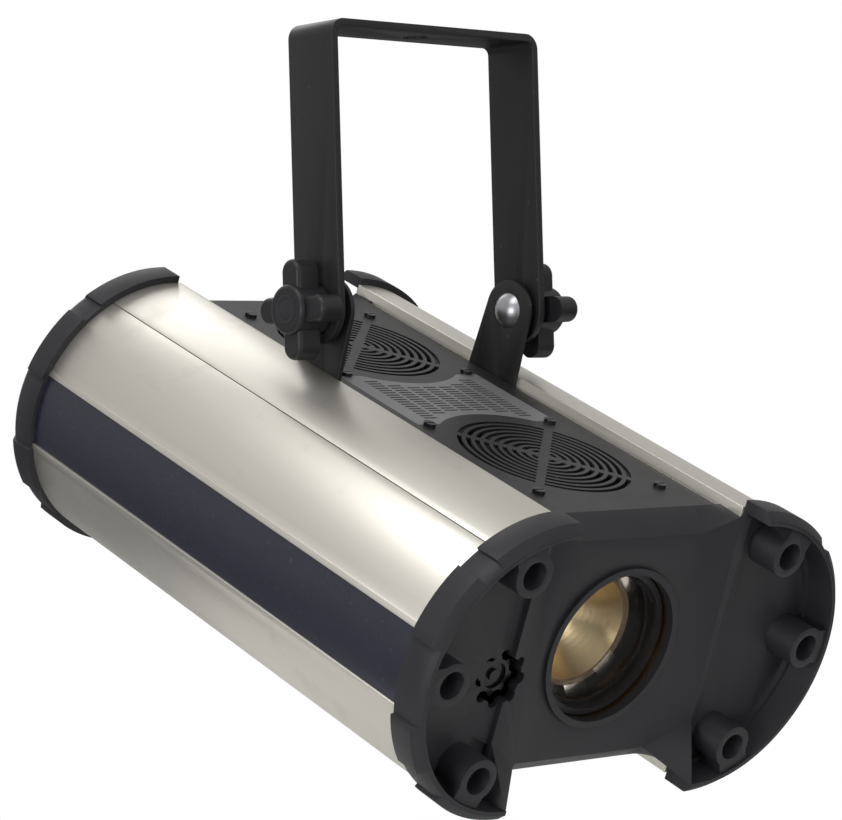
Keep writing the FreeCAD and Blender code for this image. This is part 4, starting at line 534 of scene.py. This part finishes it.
@dataclass(frozen=True)
class Painted:
    """Any plain lacquered, moulded or fired surface with a mottle and a grain."""

    name: str
    colour: Colour
    roughness: float = 0.45
    mottle: float = 0.15
    grain_scale: float = 1500.0
    grain: float = 0.00005

    def build(self) -> bpy.types.Material:
        """Make the material.

        Returns:
            The material.
        """
        g = Graph(self.name)
        fine = g.noise(g.place(), self.grain_scale, 3.0, 0.55)
        cloud = g.noise(g.place(), 60, 4.0)
        tone = g.mix(cloud, shade(self.colour, 1 - self.mottle),
                     shade(self.colour, 1 + self.mottle))
        return g.surface(Base_Color=tone, Roughness=self.roughness + (fine - 0.5) * 0.12,
                         Normal=g.bump(fine, self.grain, 0.5))


class Shop:
    """Every finish of the spot, each built once."""

    def __init__(self) -> None:
        """Build the finishes."""
        finishes = [
            Extrusion(), Moulding(), PowderCoat(), Film(), GoldCoating(), Laminations(),
            Moulding("knob_moulding", rgba(0.014, 0.014, 0.016), 0.42, 0.00003),
            # glossy black plastic; its extra darkness is partly painted shade of the focus knob's
            # recess
            Moulding("gloss_black_recess_shade", rgba(0.006, 0.006, 0.008), 0.24, 0.00001),
            Moulding("chip_epoxy", rgba(0.02, 0.02, 0.022), 0.5, 0.00003),
            Plated("zinc_plate", rgba(0.46, 0.46, 0.48), 0.32),
            Plated("dull_zinc", rgba(0.2, 0.2, 0.21), 0.42, 0.4),
            Plated("petal_polish", rgba(0.95, 0.86, 0.74), 0.2, 0.15),
            Plated("hub_foil", rgba(0.62, 0.62, 0.64), 0.33, 0.2),
            Plated("black_oxide", rgba(0.07, 0.07, 0.075), 0.34, 0.5),
            Plated("tray_steel", rgba(0.5, 0.51, 0.52), 0.38, 0.3, (40.0, 900.0, 900.0)),
            # the barrel's brown colour is a painted reflection of the gold dish on its inner wall
            Plated("painted_gold_reflection_wall", rgba(0.2, 0.125, 0.065), 0.26, 0.5),
            Plated("mirror_coat", rgba(0.9, 0.9, 0.9), 0.06, 0.1),
            Plated("wheel_steel", rgba(0.3, 0.3, 0.31), 0.35, 0.3),
            ClearGlass("clear_glass"),
            Painted("frosted_pinch", rgba(0.62, 0.63, 0.64), 0.5, 0.05),
            ClearGlass("rim_glass", rgba(0.34, 0.24, 0.16), 0.5),
            ClearGlass("magenta_glass", rgba(0.75, 0.1, 0.36), 0.72),
            Painted("screen_grey", rgba(0.15, 0.15, 0.155), 0.42, 0.12, 1200.0),
            Painted("socket_ceramic", rgba(0.72, 0.69, 0.62), 0.35, 0.05, 700.0),
            Painted("capacitor_sleeve", rgba(0.02, 0.03, 0.09), 0.3, 0.1),
            Painted("winding_tape", rgba(0.52, 0.36, 0.07), 0.32, 0.1, 300.0),
            Painted("board_lacquer", rgba(0.015, 0.12, 0.05), 0.28, 0.2, 500.0),
            Painted("motor_enamel", rgba(0.03, 0.03, 0.033), 0.4, 0.2),
            Painted("stage_floor", rgba(0.82, 0.82, 0.81), 0.6, 0.02, 40.0, 0.0001),
        ]
        self.materials = {finish.name: finish.build() for finish in finishes}

    def paint(self, thing: bpy.types.Object, name: str) -> None:
        """Give an object one finish all over.

        Args:
            thing: The mesh object.
            name: The finish's name.
        """
        thing.data.materials.clear()
        thing.data.materials.append(self.materials[name])
        for polygon in thing.data.polygons:
            polygon.material_index = 0

    def paint_where(self, thing: bpy.types.Object, name: str,
                    test: Callable[[Vector], bool]) -> None:
        """Give one more finish to some of an object's faces.

        Args:
            thing: The mesh object.
            name: The finish's name.
            test: Says yes for a face whose middle, along the head's axes, takes the finish.
        """
        back = HEAD.turn.inverted()
        thing.data.materials.append(self.materials[name])
        for polygon in thing.data.polygons:
            if test(back @ polygon.center):
                polygon.material_index = len(thing.data.materials) - 1

    def paint_node(self, node: str, name: str) -> None:
        """Give a CAD node one finish, without touching its mesh.

        Args:
            node: The CAD node.
            name: The finish's name.
        """
        thing = frame["nodes"][node]
        if not thing.material_slots:
            thing.data.materials.append(self.materials[name])
        for slot in thing.material_slots:
            slot.link = "OBJECT"
            slot.material = self.materials[name]


# ---------------------------------------------------------------------------------------
# Mesh work
# ---------------------------------------------------------------------------------------
def deselect() -> None:
    """Leave object mode's selection empty."""
    bpy.ops.object.select_all(action="DESELECT")


def activate(thing: bpy.types.Object) -> None:
    """Select one object alone.

    Args:
        thing: The object.
    """
    deselect()
    thing.select_set(True)
    bpy.context.view_layer.objects.active = thing


def in_edit_mode(thing: bpy.types.Object, work: Callable[[bmesh.types.BMesh], None]) -> None:
    """Run some edit-mode work on an object, starting with nothing selected.

    Args:
        thing: The mesh object.
        work: Called with the edit mesh while edit mode is on.
    """
    activate(thing)
    bpy.ops.object.mode_set(mode="EDIT")
    bpy.ops.mesh.select_all(action="DESELECT")
    work(bmesh.from_edit_mesh(thing.data))
    bpy.ops.object.mode_set(mode="OBJECT")


def add_modifier(thing: bpy.types.Object, kind: str, **settings: Any) -> None:
    """Add a modifier, to be applied later.

    Args:
        thing: The mesh object.
        kind: The modifier's type name.
        settings: Its attributes.
    """
    modifier = thing.modifiers.new(kind.lower(), kind)
    for key, value in settings.items():
        setattr(modifier, key, value)


def finish_modifiers(thing: bpy.types.Object) -> None:
    """Apply every modifier in order.

    Args:
        thing: The mesh object.
    """
    activate(thing)
    for modifier in list(thing.modifiers):
        bpy.ops.object.modifier_apply(modifier=modifier.name)


def smooth(thing: bpy.types.Object, angle: float = 35.0) -> None:
    """Smooth shading below an angle in degrees."""
    activate(thing)
    bpy.ops.object.shade_smooth_by_angle(angle=math.radians(angle))


def settle(thing: bpy.types.Object, matrix: Matrix) -> None:
    """Move a finished piece into the frame and put its place into its mesh.

    Args:
        thing: The piece.
        matrix: The move from where it was made.
    """
    activate(thing)
    thing.matrix_world = matrix @ thing.matrix_world
    bpy.ops.object.transform_apply(location=True, rotation=True, scale=True)


def repeated(make: Callable[[], bpy.types.Object],
             names: Sequence[str]) -> Iterator[bpy.types.Object]:
    """Make a piece once, and give it and copies of it that each have their own mesh.

    Args:
        make: Makes the piece, not yet in its place.
        names: One name for each piece.

    Returns:
        The pieces in the order of the names, each when it is asked for.
    """
    pattern = make()
    pattern.name = names[0]
    meshes = [pattern.data.copy() for _ in names[1:]]
    yield pattern
    for name, mesh in zip(names[1:], meshes):
        twin = bpy.data.objects.new(name, mesh)
        bpy.context.scene.collection.objects.link(twin)
        yield twin


@dataclass(frozen=True)
class Softening:
    """How a CAD node's copy has its sharp edges rounded."""

    width: float                # rounding, mm
    segments: int = 2           # faces across a rounded edge
    angle: float = 32.0         # edges sharper than this many degrees are rounded

    def skin(self, node: str) -> bpy.types.Object:
        """Copy a CAD node, round its edges, and show the copy in the node's stead.

        Args:
            node: The CAD node.

        Returns:
            The new piece, not yet painted or riding.
        """
        source = frame["nodes"][node]
        piece = bpy.data.objects.new(node + "_skin", source.data.copy())
        bpy.context.scene.collection.objects.link(piece)
        piece.matrix_world = source.matrix_world.copy()

        def merge(_: bmesh.types.BMesh) -> None:
            """Join the loose triangles and dissolve flat seams.

            Args:
                _: The edit mesh, which the operators find by themselves.
            """
            bpy.ops.mesh.select_all(action="SELECT")
            bpy.ops.mesh.remove_doubles(threshold=MERGE_DISTANCE)
            bpy.ops.mesh.dissolve_limited(angle_limit=FLAT_SEAM)

        in_edit_mode(piece, merge)
        add_modifier(piece, "BEVEL", width=self.width * MM, segments=self.segments,
                     limit_method="ANGLE", angle_limit=math.radians(self.angle),
                     use_clamp_overlap=True, miter_outer="MITER_ARC")
        finish_modifiers(piece)
        smooth(piece, self.angle)
        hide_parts(node)
        return piece


@dataclass(frozen=True)
class Disc:
    """Small disc whose upper face is worked into rings. Sizes are in millimetres."""

    radius: float
    height: float
    rings: tuple[tuple[float, float], ...]      # inset and lift of each ring in turn
    sides: int = 48
    rounding: float = 0.2

    def make(self) -> bpy.types.Object:
        """Make the disc, standing on the origin along +Z.

        Returns:
            The disc, not yet in its place.
        """
        deselect()
        bpy.ops.mesh.primitive_cylinder_add(
            vertices=self.sides, radius=self.radius * MM, depth=self.height * MM,
            location=(0.0, 0.0, self.height * MM / 2))
        disc = bpy.context.object
        bpy.ops.object.transform_apply(location=True, rotation=False, scale=False)

        def work_rings(mesh: bmesh.types.BMesh) -> None:
            """Inset and lift the upper face again and again.

            Args:
                mesh: The edit mesh.
            """
            for facet in mesh.faces:
                facet.select = facet.normal.z > FACING_UP
            bmesh.update_edit_mesh(disc.data)
            for inset, lift in self.rings:
                bpy.ops.mesh.inset(thickness=inset * MM)
                bpy.ops.transform.translate(value=(0.0, 0.0, lift * MM))

        in_edit_mode(disc, work_rings)
        add_modifier(disc, "BEVEL", width=self.rounding * MM, segments=2, limit_method="ANGLE")
        finish_modifiers(disc)
        smooth(disc)
        return disc


@dataclass(frozen=True)
class Petal:
    """Polished spring petal that leans out and forward. Sizes are in millimetres."""

    width: float = 13.0
    reach: float = 6.4
    forward: float = 2.8
    thickness: float = 0.4
    rounding: float = 0.12
    tip: float = 0.82                               # width of the tip over that of the root
    lip: tuple[float, float] = (0.35, -0.5)         # the tip's turned edge, out and back

    def make(self) -> bpy.types.Object:
        """Make the petal flat on the origin, with its tip towards +X.

        Returns:
            The petal, not yet in its place.
        """
        deselect()
        bpy.ops.mesh.primitive_plane_add(size=1.0)
        leaf = bpy.context.object
        leaf.scale = (self.reach * MM, self.width * MM, 1.0)
        bpy.ops.object.transform_apply(location=False, rotation=False, scale=True)

        def shape_tip(mesh: bmesh.types.BMesh) -> None:
            """Narrow the tip and turn its edge back.

            Args:
                mesh: The edit mesh.
            """
            for edge in mesh.edges:
                edge.select = all(vertex.co.x > 0 for vertex in edge.verts)
            bmesh.update_edit_mesh(leaf.data)
            bpy.ops.transform.resize(value=(1.0, self.tip, 1.0))
            turned = (self.lip[0] * MM, 0.0, self.lip[1] * MM)
            bpy.ops.mesh.extrude_region_move(TRANSFORM_OT_translate={"value": turned})

        in_edit_mode(leaf, shape_tip)
        add_modifier(leaf, "SOLIDIFY", thickness=self.thickness * MM)
        add_modifier(leaf, "BEVEL", width=self.rounding * MM, segments=2, limit_method="ANGLE")
        finish_modifiers(leaf)
        smooth(leaf)
        return leaf


# ---------------------------------------------------------------------------------------
# Sub-assemblies
# ---------------------------------------------------------------------------------------
class Body(Enum):
    """Bodies that the new pieces ride on."""

    YOKE = "yoke"
    HEAD = "head"
    LEFT_KNOB = "left_knob"
    RIGHT_KNOB = "right_knob"
    FRONT_FAN = "front_fan"
    REAR_FAN = "rear_fan"


class Slot(Enum):
    """The record's material slots named alongside the new pieces; they are not given to them."""

    PAINT = "black_paint"
    MOULDING = "black_moulding"
    ALUMINIUM = "aluminium_satin"
    MIRROR = "reflector_mirror"
    BOARD = "board_green"
    GLASS = "clear_glass"
    ZINC = "zinc_fastener"


@dataclass
class SubAssembly:
    """What every sub-assembly has: the shop's finishes and the list of what it has dressed."""

    shop: Shop
    pieces: list[tuple[str, str]] = field(default_factory=list)

    def build(self) -> None:
        """Build and dress the sub-assembly's pieces."""
        raise NotImplementedError

    def dress(self, piece: bpy.types.Object, finish: str, body: Body, slot: Slot) -> None:
        """Give a new piece its finish and its body.

        Args:
            piece: The piece, in its place.
            finish: The finish's name.
            body: What it rides on.
            slot: The record's slot for it; not used.
        """
        self.shop.paint(piece, finish)
        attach(piece, body.value)
        self.pieces.append((piece.name, finish))

    def carry_over(self, finish: str, *nodes: str) -> None:
        """Give one finish to CAD nodes whose shape stays.

        Args:
            finish: The finish's name.
            nodes: The CAD nodes.
        """
        for node in nodes:
            self.shop.paint_node(node, finish)
            self.pieces.append((node, finish))


@dataclass
class Yoke(SubAssembly):
    """Flat-bar yoke with its washers."""

    edge: Softening = Softening(0.6, 3)

    def build(self) -> None:
        """Soften and paint the bar, and dress the washers."""
        self.dress(self.edge.skin("yoke_bracket"), "black_powder_coat", Body.YOKE, Slot.PAINT)
        self.carry_over("black_oxide", "knob_washers")


@dataclass
class TiltHardware(SubAssembly):
    """Ears, bolts, spacers and the two clamp knobs."""

    edge: Softening = Softening(0.35)
    cap: Disc = Disc(7.5, 1.2, ((1.6, 0.0), (0.6, -0.4), (0.6, 0.35)))
    cap_sunk: float = 1.0       # depth of the caps below the knobs' faces, mm

    def build(self) -> None:
        """Build both sides, then dress the bolts, spacers and brace."""
        caps = repeated(self.cap.make, ("left_knob_cap", "right_knob_cap"))
        for side, sign, body in (("left", -1.0, Body.LEFT_KNOB), ("right", 1.0, Body.RIGHT_KNOB)):
            ear = self.edge.skin(side + "_ear")
            self.dress(ear, "black_powder_coat", Body.HEAD, Slot.PAINT)
            self.carry_over("knob_moulding", side + "_clamp_knob")
            cap = next(caps)
            settle(cap, self.cap_place(side + "_clamp_knob", sign))
            self.dress(cap, "black_moulding", body, Slot.MOULDING)
        self.carry_over("zinc_plate", "carriage_bolts", "ear_screws")
        self.carry_over("black_oxide", "pivot_spacers")
        self.carry_over("black_powder_coat", "cross_brace")

    def cap_place(self, knob: str, sign: float) -> Matrix:
        """Where a cap stands in the middle of a knob's outer face.

        Args:
            knob: The knob's CAD node.
            sign: -1 for the left side, 1 for the right.

        Returns:
            The move from where the cap was made.
        """
        low, high = (Vector(corner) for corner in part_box(knob))
        face = low.x if sign < 0 else high.x
        middle = Vector((face - sign * self.cap_sunk * MM, (low.y + high.y) / 2,
                         (low.z + high.z) / 2))
        return Matrix.Translation(middle) @ Matrix.Rotation(sign * math.pi / 2, 4, "Y")


@dataclass
class Sides(SubAssembly):
    """Four aluminium extrusions and the two inlays."""

    edge: Softening = Softening(0.3, 2, 50.0)

    def build(self) -> None:
        """Soften and paint the extrusions, and dress the strips."""
        for side in ("left", "right"):
            for part in ("upper_profile", "side_profile"):
                profile = self.edge.skin(f"{side}_{part}")
                self.dress(profile, "satin_extrusion", Body.HEAD, Slot.ALUMINIUM)
            self.carry_over("navy_film", f"{side}_trim_strip")


@dataclass
class EndCaps(SubAssembly):
    """Moulded front and rear caps with their screws."""

    edge: Softening = Softening(0.5, 2, 38.0)

    def build(self) -> None:
        """Soften and paint both caps, and dress the screws."""
        for node in ("front_cap", "rear_cap"):
            self.dress(self.edge.skin(node), "black_moulding", Body.HEAD, Slot.MOULDING)
        self.carry_over("black_oxide", "cap_screws")


@dataclass
class Deck(SubAssembly):
    """Top and bottom plates, the slotted screen, the fans and their screws."""

    foil: Disc = Disc(14.0, 0.3, ((1.2, -0.08), (6.0, 0.0), (0.5, -0.1)), 48, 0.05)

    def build(self) -> None:
        """Dress the deck's nodes and lay the foils on the fans."""
        self.carry_over("black_powder_coat", "top_plate", "bottom_plate")
        self.carry_over("screen_grey", "vent_screen")
        self.carry_over("black_oxide", "fan_screws")
        self.carry_over("black_moulding", "front_fan_frame", "rear_fan_frame")
        self.carry_over("knob_moulding", "front_fan_rotor", "rear_fan_rotor")
        self.hub_foils()

    def hub_foils(self) -> None:
        """Plain foil disc on top of each fan's hub."""
        front, rear = repeated(self.foil.make, ("front_hub_foil", "rear_hub_foil"))
        for foil, end, body in ((front, "front", Body.FRONT_FAN), (rear, "rear", Body.REAR_FAN)):
            low, high = HEAD.span(end + "_fan_rotor")
            spot = Vector(((low.x + high.x) / 2, (low.y + high.y) / 2, high.z))
            settle(foil, HEAD.turn @ Matrix.Translation(spot))
            self.dress(foil, "hub_foil", body, Slot.MOULDING)


@dataclass
class LensGroup(SubAssembly):
    """Lens ring, barrel, lens, focus knob, gate dish, its glass ring and the petals round it."""

    petal: Petal = Petal()
    petal_root: float = 29.8    # radius of the petals' inner edges, mm
    petal_angles: tuple[float, ...] = (40.0, 75.0, 105.0, 140.0, 220.0, 255.0, 285.0, 320.0)

    def build(self) -> None:
        """Dress the lens group's nodes and add the petals."""
        self.carry_over("black_moulding", "lens_ring")
        # brown barrel: painted reflection of the gold dish
        self.carry_over("painted_gold_reflection_wall", "lens_barrel")
        self.carry_over("black_powder_coat", "lens_cell")
        self.carry_over("clear_glass", "front_lens")
        # glossy finish, with its extra darkness partly painted shade of the recess
        self.carry_over("gloss_black_recess_shade", "focus_knob")
        self.carry_over("gold_coating", "gate_dish")
        self.carry_over("rim_glass", "dish_ring")
        names = [f"dish_petal_{number + 1}" for number in range(len(self.petal_angles))]
        for leaf, angle in zip(repeated(self.petal.make, names), self.petal_angles):
            settle(leaf, self.petal_place(angle))
            self.dress(leaf, "petal_polish", Body.HEAD, Slot.MIRROR)

    def petal_place(self, angle: float) -> Matrix:
        """Where a petal stands, leaning out and forward from behind the glass ring.

        Args:
            angle: Its place round the dish in degrees above level.

        Returns:
            The move from where it was made.
        """
        low, high = HEAD.span("dish_ring")
        hub = Vector(((low.x + high.x) / 2, high.y + self.petal.forward / 2 * MM,
                      (low.z + high.z) / 2))
        lean = Matrix.Rotation(math.atan2(self.petal.forward, self.petal.reach), 4, "Y")
        out = Matrix.Translation(((self.petal_root + self.petal.reach / 2) * MM, 0.0, 0.0))
        face_front = Matrix.Rotation(math.pi / 2, 4, "X")
        around = Matrix.Rotation(-math.radians(angle), 4, "Y")
        beside = HEAD.turn @ Matrix.Translation(hub) @ around
        return beside @ face_front @ out @ lean.inverted()


@dataclass
class Works(SubAssembly):
    """Everything inside and on the rear panel: tray, wheels, lamp train and electrics.

    Sizes are in millimetres.
    """

    board_edge: Softening = Softening(0.2)
    lamp_edge: Softening = Softening(0.3)
    screw: Disc = Disc(2.3, 1.3, ((0.5, 0.12), (0.55, 0.0), (0.05, -0.7)), 24)
    board_thickness: float = 1.6
    capacitor_above: float = 12.0
    pin_length: float = 8.0
    pinch_length: float = 12.0
    flange_inset: float = 2.9
    socket_flange: float = 26.0
    margin: float = 0.1         # tells a face from what stands on it

    def build(self) -> None:
        """Dress the inner nodes, the board and the lamp, and add the panel's screws."""
        self.carry_over("tray_steel", "chassis_tray", "gate_bulkhead", "motor_bulkhead",
                        "condenser_holder", "filter_clip", "lamp_carrier")
        self.carry_over("wheel_steel", "gobo_wheel", "colour_wheel")
        self.carry_over("zinc_plate", "board_posts")
        self.carry_over("dull_zinc", "safety_eye")
        self.carry_over("motor_enamel", "gobo_motor", "colour_motor")
        self.carry_over("magenta_glass", "colour_filters")
        self.carry_over("clear_glass", "condenser_lens", "heat_filter")
        self.carry_over("mirror_coat", "lamp_reflector")
        self.carry_over("socket_ceramic", "lamp_socket")
        self.carry_over("core_laminations", "transformer_core")
        self.carry_over("winding_tape", "transformer_coil")
        self.carry_over("black_moulding", "mains_inlet", "switch_frame", "fuse_holder",
                        "data_sockets")
        self.carry_over("knob_moulding", "power_rocker")
        self.board()
        self.lamp()
        self.panel_screws()

    def board(self) -> None:
        """Control board in green lacquer with black chips and sleeved capacitors."""
        board = self.board_edge.skin("control_board")
        low, high = HEAD.span("control_board")
        parts_from = high.x - (self.board_thickness + self.margin) * MM
        shelf = (low.z + high.z) / 2 + self.capacitor_above * MM
        can_tops = low.x + self.margin * MM
        self.dress(board, "board_lacquer", Body.HEAD, Slot.BOARD)
        self.shop.paint_where(board, "chip_epoxy",
                              lambda spot: spot.x < parts_from and spot.z < shelf)
        self.shop.paint_where(board, "capacitor_sleeve",
                              lambda spot: spot.x < parts_from and spot.z > shelf)
        self.shop.paint_where(board, "hub_foil", lambda spot: spot.x < can_tops)

    def lamp(self) -> None:
        """Capsule in clear glass with a frosted pinch and bright pins."""
        lamp = self.lamp_edge.skin("halogen_lamp")
        _, high = HEAD.span("halogen_lamp")
        pinch = high.y - (self.pin_length + self.pinch_length) * MM
        pins = high.y - (self.pin_length - self.margin) * MM
        self.dress(lamp, "clear_glass", Body.HEAD, Slot.GLASS)
        self.shop.paint_where(lamp, "frosted_pinch", lambda spot: spot.y > pinch)
        self.shop.paint_where(lamp, "hub_foil", lambda spot: spot.y > pins)

    def screw_spots(self) -> list[tuple[float, float, float]]:
        """Where the rear panel's screws stand, along the head's axes.

        Returns:
            Two places on each signal socket's flange, then two on the mains inlet's.
        """
        inset, width = self.flange_inset * MM, self.socket_flange * MM
        low, high = HEAD.span("data_sockets")
        spots = []
        for left in (low.x, high.x - width):
            spots += [(left + inset, high.y, high.z - inset),
                      (left + width - inset, high.y, low.z + inset)]
        low, high = HEAD.span("mains_inlet")
        middle = (high.z + low.z) / 2
        spots += [(low.x + 2 * inset, high.y, middle), (high.x - 2 * inset, high.y, middle)]
        return spots

    def panel_screws(self) -> None:
        """Pan-head screws in the flanges of the rear panel's sockets."""
        spots = self.screw_spots()
        names = [f"panel_screw_{number + 1}" for number in range(len(spots))]
        rearward = Matrix.Rotation(-math.pi / 2, 4, "X")
        for screw, spot in zip(repeated(self.screw.make, names), spots):
            settle(screw, HEAD.turn @ Matrix.Translation(spot) @ rearward)
            self.dress(screw, "dull_zinc", Body.HEAD, Slot.ZINC)


# ---------------------------------------------------------------------------------------
# Studio
# ---------------------------------------------------------------------------------------
@dataclass(frozen=True)
class Softbox:
    """Square soft light: where it stands and its side in metres, and its power in watts."""

    name: str
    place: tuple[float, float, float]
    size: float
    power: float

    def build(self) -> None:
        """Put the light in its place, turned to the object's middle."""
        data = bpy.data.lights.new(self.name, "AREA")
        data.shape = "SQUARE"
        data.size = self.size
        data.energy = self.power
        light = bpy.data.objects.new(self.name, data)
        bpy.context.scene.collection.objects.link(light)
        middle = (Vector(CAD_BOUNDS[0]) + Vector(CAD_BOUNDS[1])) / 2
        facing = (Vector(self.place) - middle).to_track_quat("Z", "Y").to_matrix().to_4x4()
        light.matrix_world = Matrix.Translation(self.place) @ facing


@dataclass
class Studio(SubAssembly):
    """Camera, floor, soft lights and a pale surround. Lengths are in metres, angles in degrees."""

    eye: tuple[float, float, float] = (-1.048, -1.166, -0.1993)
    azimuth: float = 41.86
    elevation: float = 0.17
    roll: float = -1.59
    lens: float = 131.0         # focal length, mm
    sensor: float = 36.0        # mm
    near: float = 0.01
    floor_gap: float = 0.11
    floor_radius: float = 0.6
    floor_sides: int = 96
    softboxes: tuple[Softbox, ...] = (
        Softbox("key", (-1.0, -0.35, 1.5), 1.1, 14.0),
        Softbox("side", (-1.9, -0.6, -0.25), 0.8, 12.0),
        Softbox("front", (-0.1, -1.9, -0.3), 0.9, 4.5),
        Softbox("back", (0.6, 1.6, 1.3), 1.2, 10.0),
    )

    def build(self) -> None:
        """Set up everything that isn't the object."""
        self.camera()
        self.floor()
        self.surround()
        for softbox in self.softboxes:
            softbox.build()
        bpy.context.scene.view_settings.view_transform = "Standard"

    def camera(self) -> None:
        """Nearly level camera at the front left."""
        data = bpy.data.cameras.new("camera")
        data.lens = self.lens
        data.sensor_width = self.sensor
        data.clip_start = self.near
        camera = bpy.data.objects.new("camera", data)
        bpy.context.scene.collection.objects.link(camera)
        aim = Euler((math.radians(90 + self.elevation), 0.0, math.radians(-self.azimuth)))
        turned = aim.to_matrix() @ Matrix.Rotation(math.radians(self.roll), 3, "Z")
        camera.matrix_world = Matrix.Translation(self.eye) @ turned.to_4x4()
        bpy.context.scene.camera = camera

    def floor(self) -> None:
        """Round pale floor below the hanging spot."""
        low = CAD_BOUNDS[0][2] - self.floor_gap
        deselect()
        bpy.ops.mesh.primitive_circle_add(vertices=self.floor_sides, radius=self.floor_radius,
                                          fill_type="NGON", location=(0.0, 0.0, low))
        disc = bpy.context.object
        disc.name = "floor"
        settle(disc, Matrix.Identity(4))
        self.shop.paint(disc, "stage_floor")
        self.pieces.append((disc.name, "stage_floor"))

    def surround(self) -> None:
        """World that is white to the eye and a soft grey dome as a light."""
        g = Graph("surround", Tree.WORLD)
        split = g.node("ShaderNodeSeparateXYZ", inputs={0: g.place()})
        height = Expr(g, split.outputs["Z"]) * 0.5 + 0.5
        stops = [(0.38, rgba(0.13, 0.13, 0.14)), (0.62, rgba(0.6, 0.6, 0.59))]
        dome = g.node("ShaderNodeValToRGB", {"stops": stops}, {0: height})
        light = g.node("ShaderNodeBackground", inputs={"Color": dome.outputs[0]})
        seen = g.node("ShaderNodeBackground", inputs={"Color": rgba(1.0, 1.0, 1.0)})
        rays = g.node("ShaderNodeLightPath")
        mixed = g.node("ShaderNodeMixShader", inputs={
            0: rays.outputs["Is Camera Ray"], 1: light.outputs[0], 2: seen.outputs[0]})
        g.node("ShaderNodeOutputWorld", inputs={"Surface": mixed.outputs[0]})
        bpy.context.scene.world = g.owner


def main() -> None:
    """Build the sub-assemblies in order and report each piece."""
    shop = Shop()
    assemblies = (Studio(shop), Yoke(shop), TiltHardware(shop), Sides(shop), EndCaps(shop),
                  Deck(shop), LensGroup(shop), Works(shop))
    for assembly in assemblies:
        assembly.build()
        for name, finish in assembly.pieces:
            LOG.info("%s: %s in %s", type(assembly).__name__, name, finish)


if __name__ == "__main__":
    main()
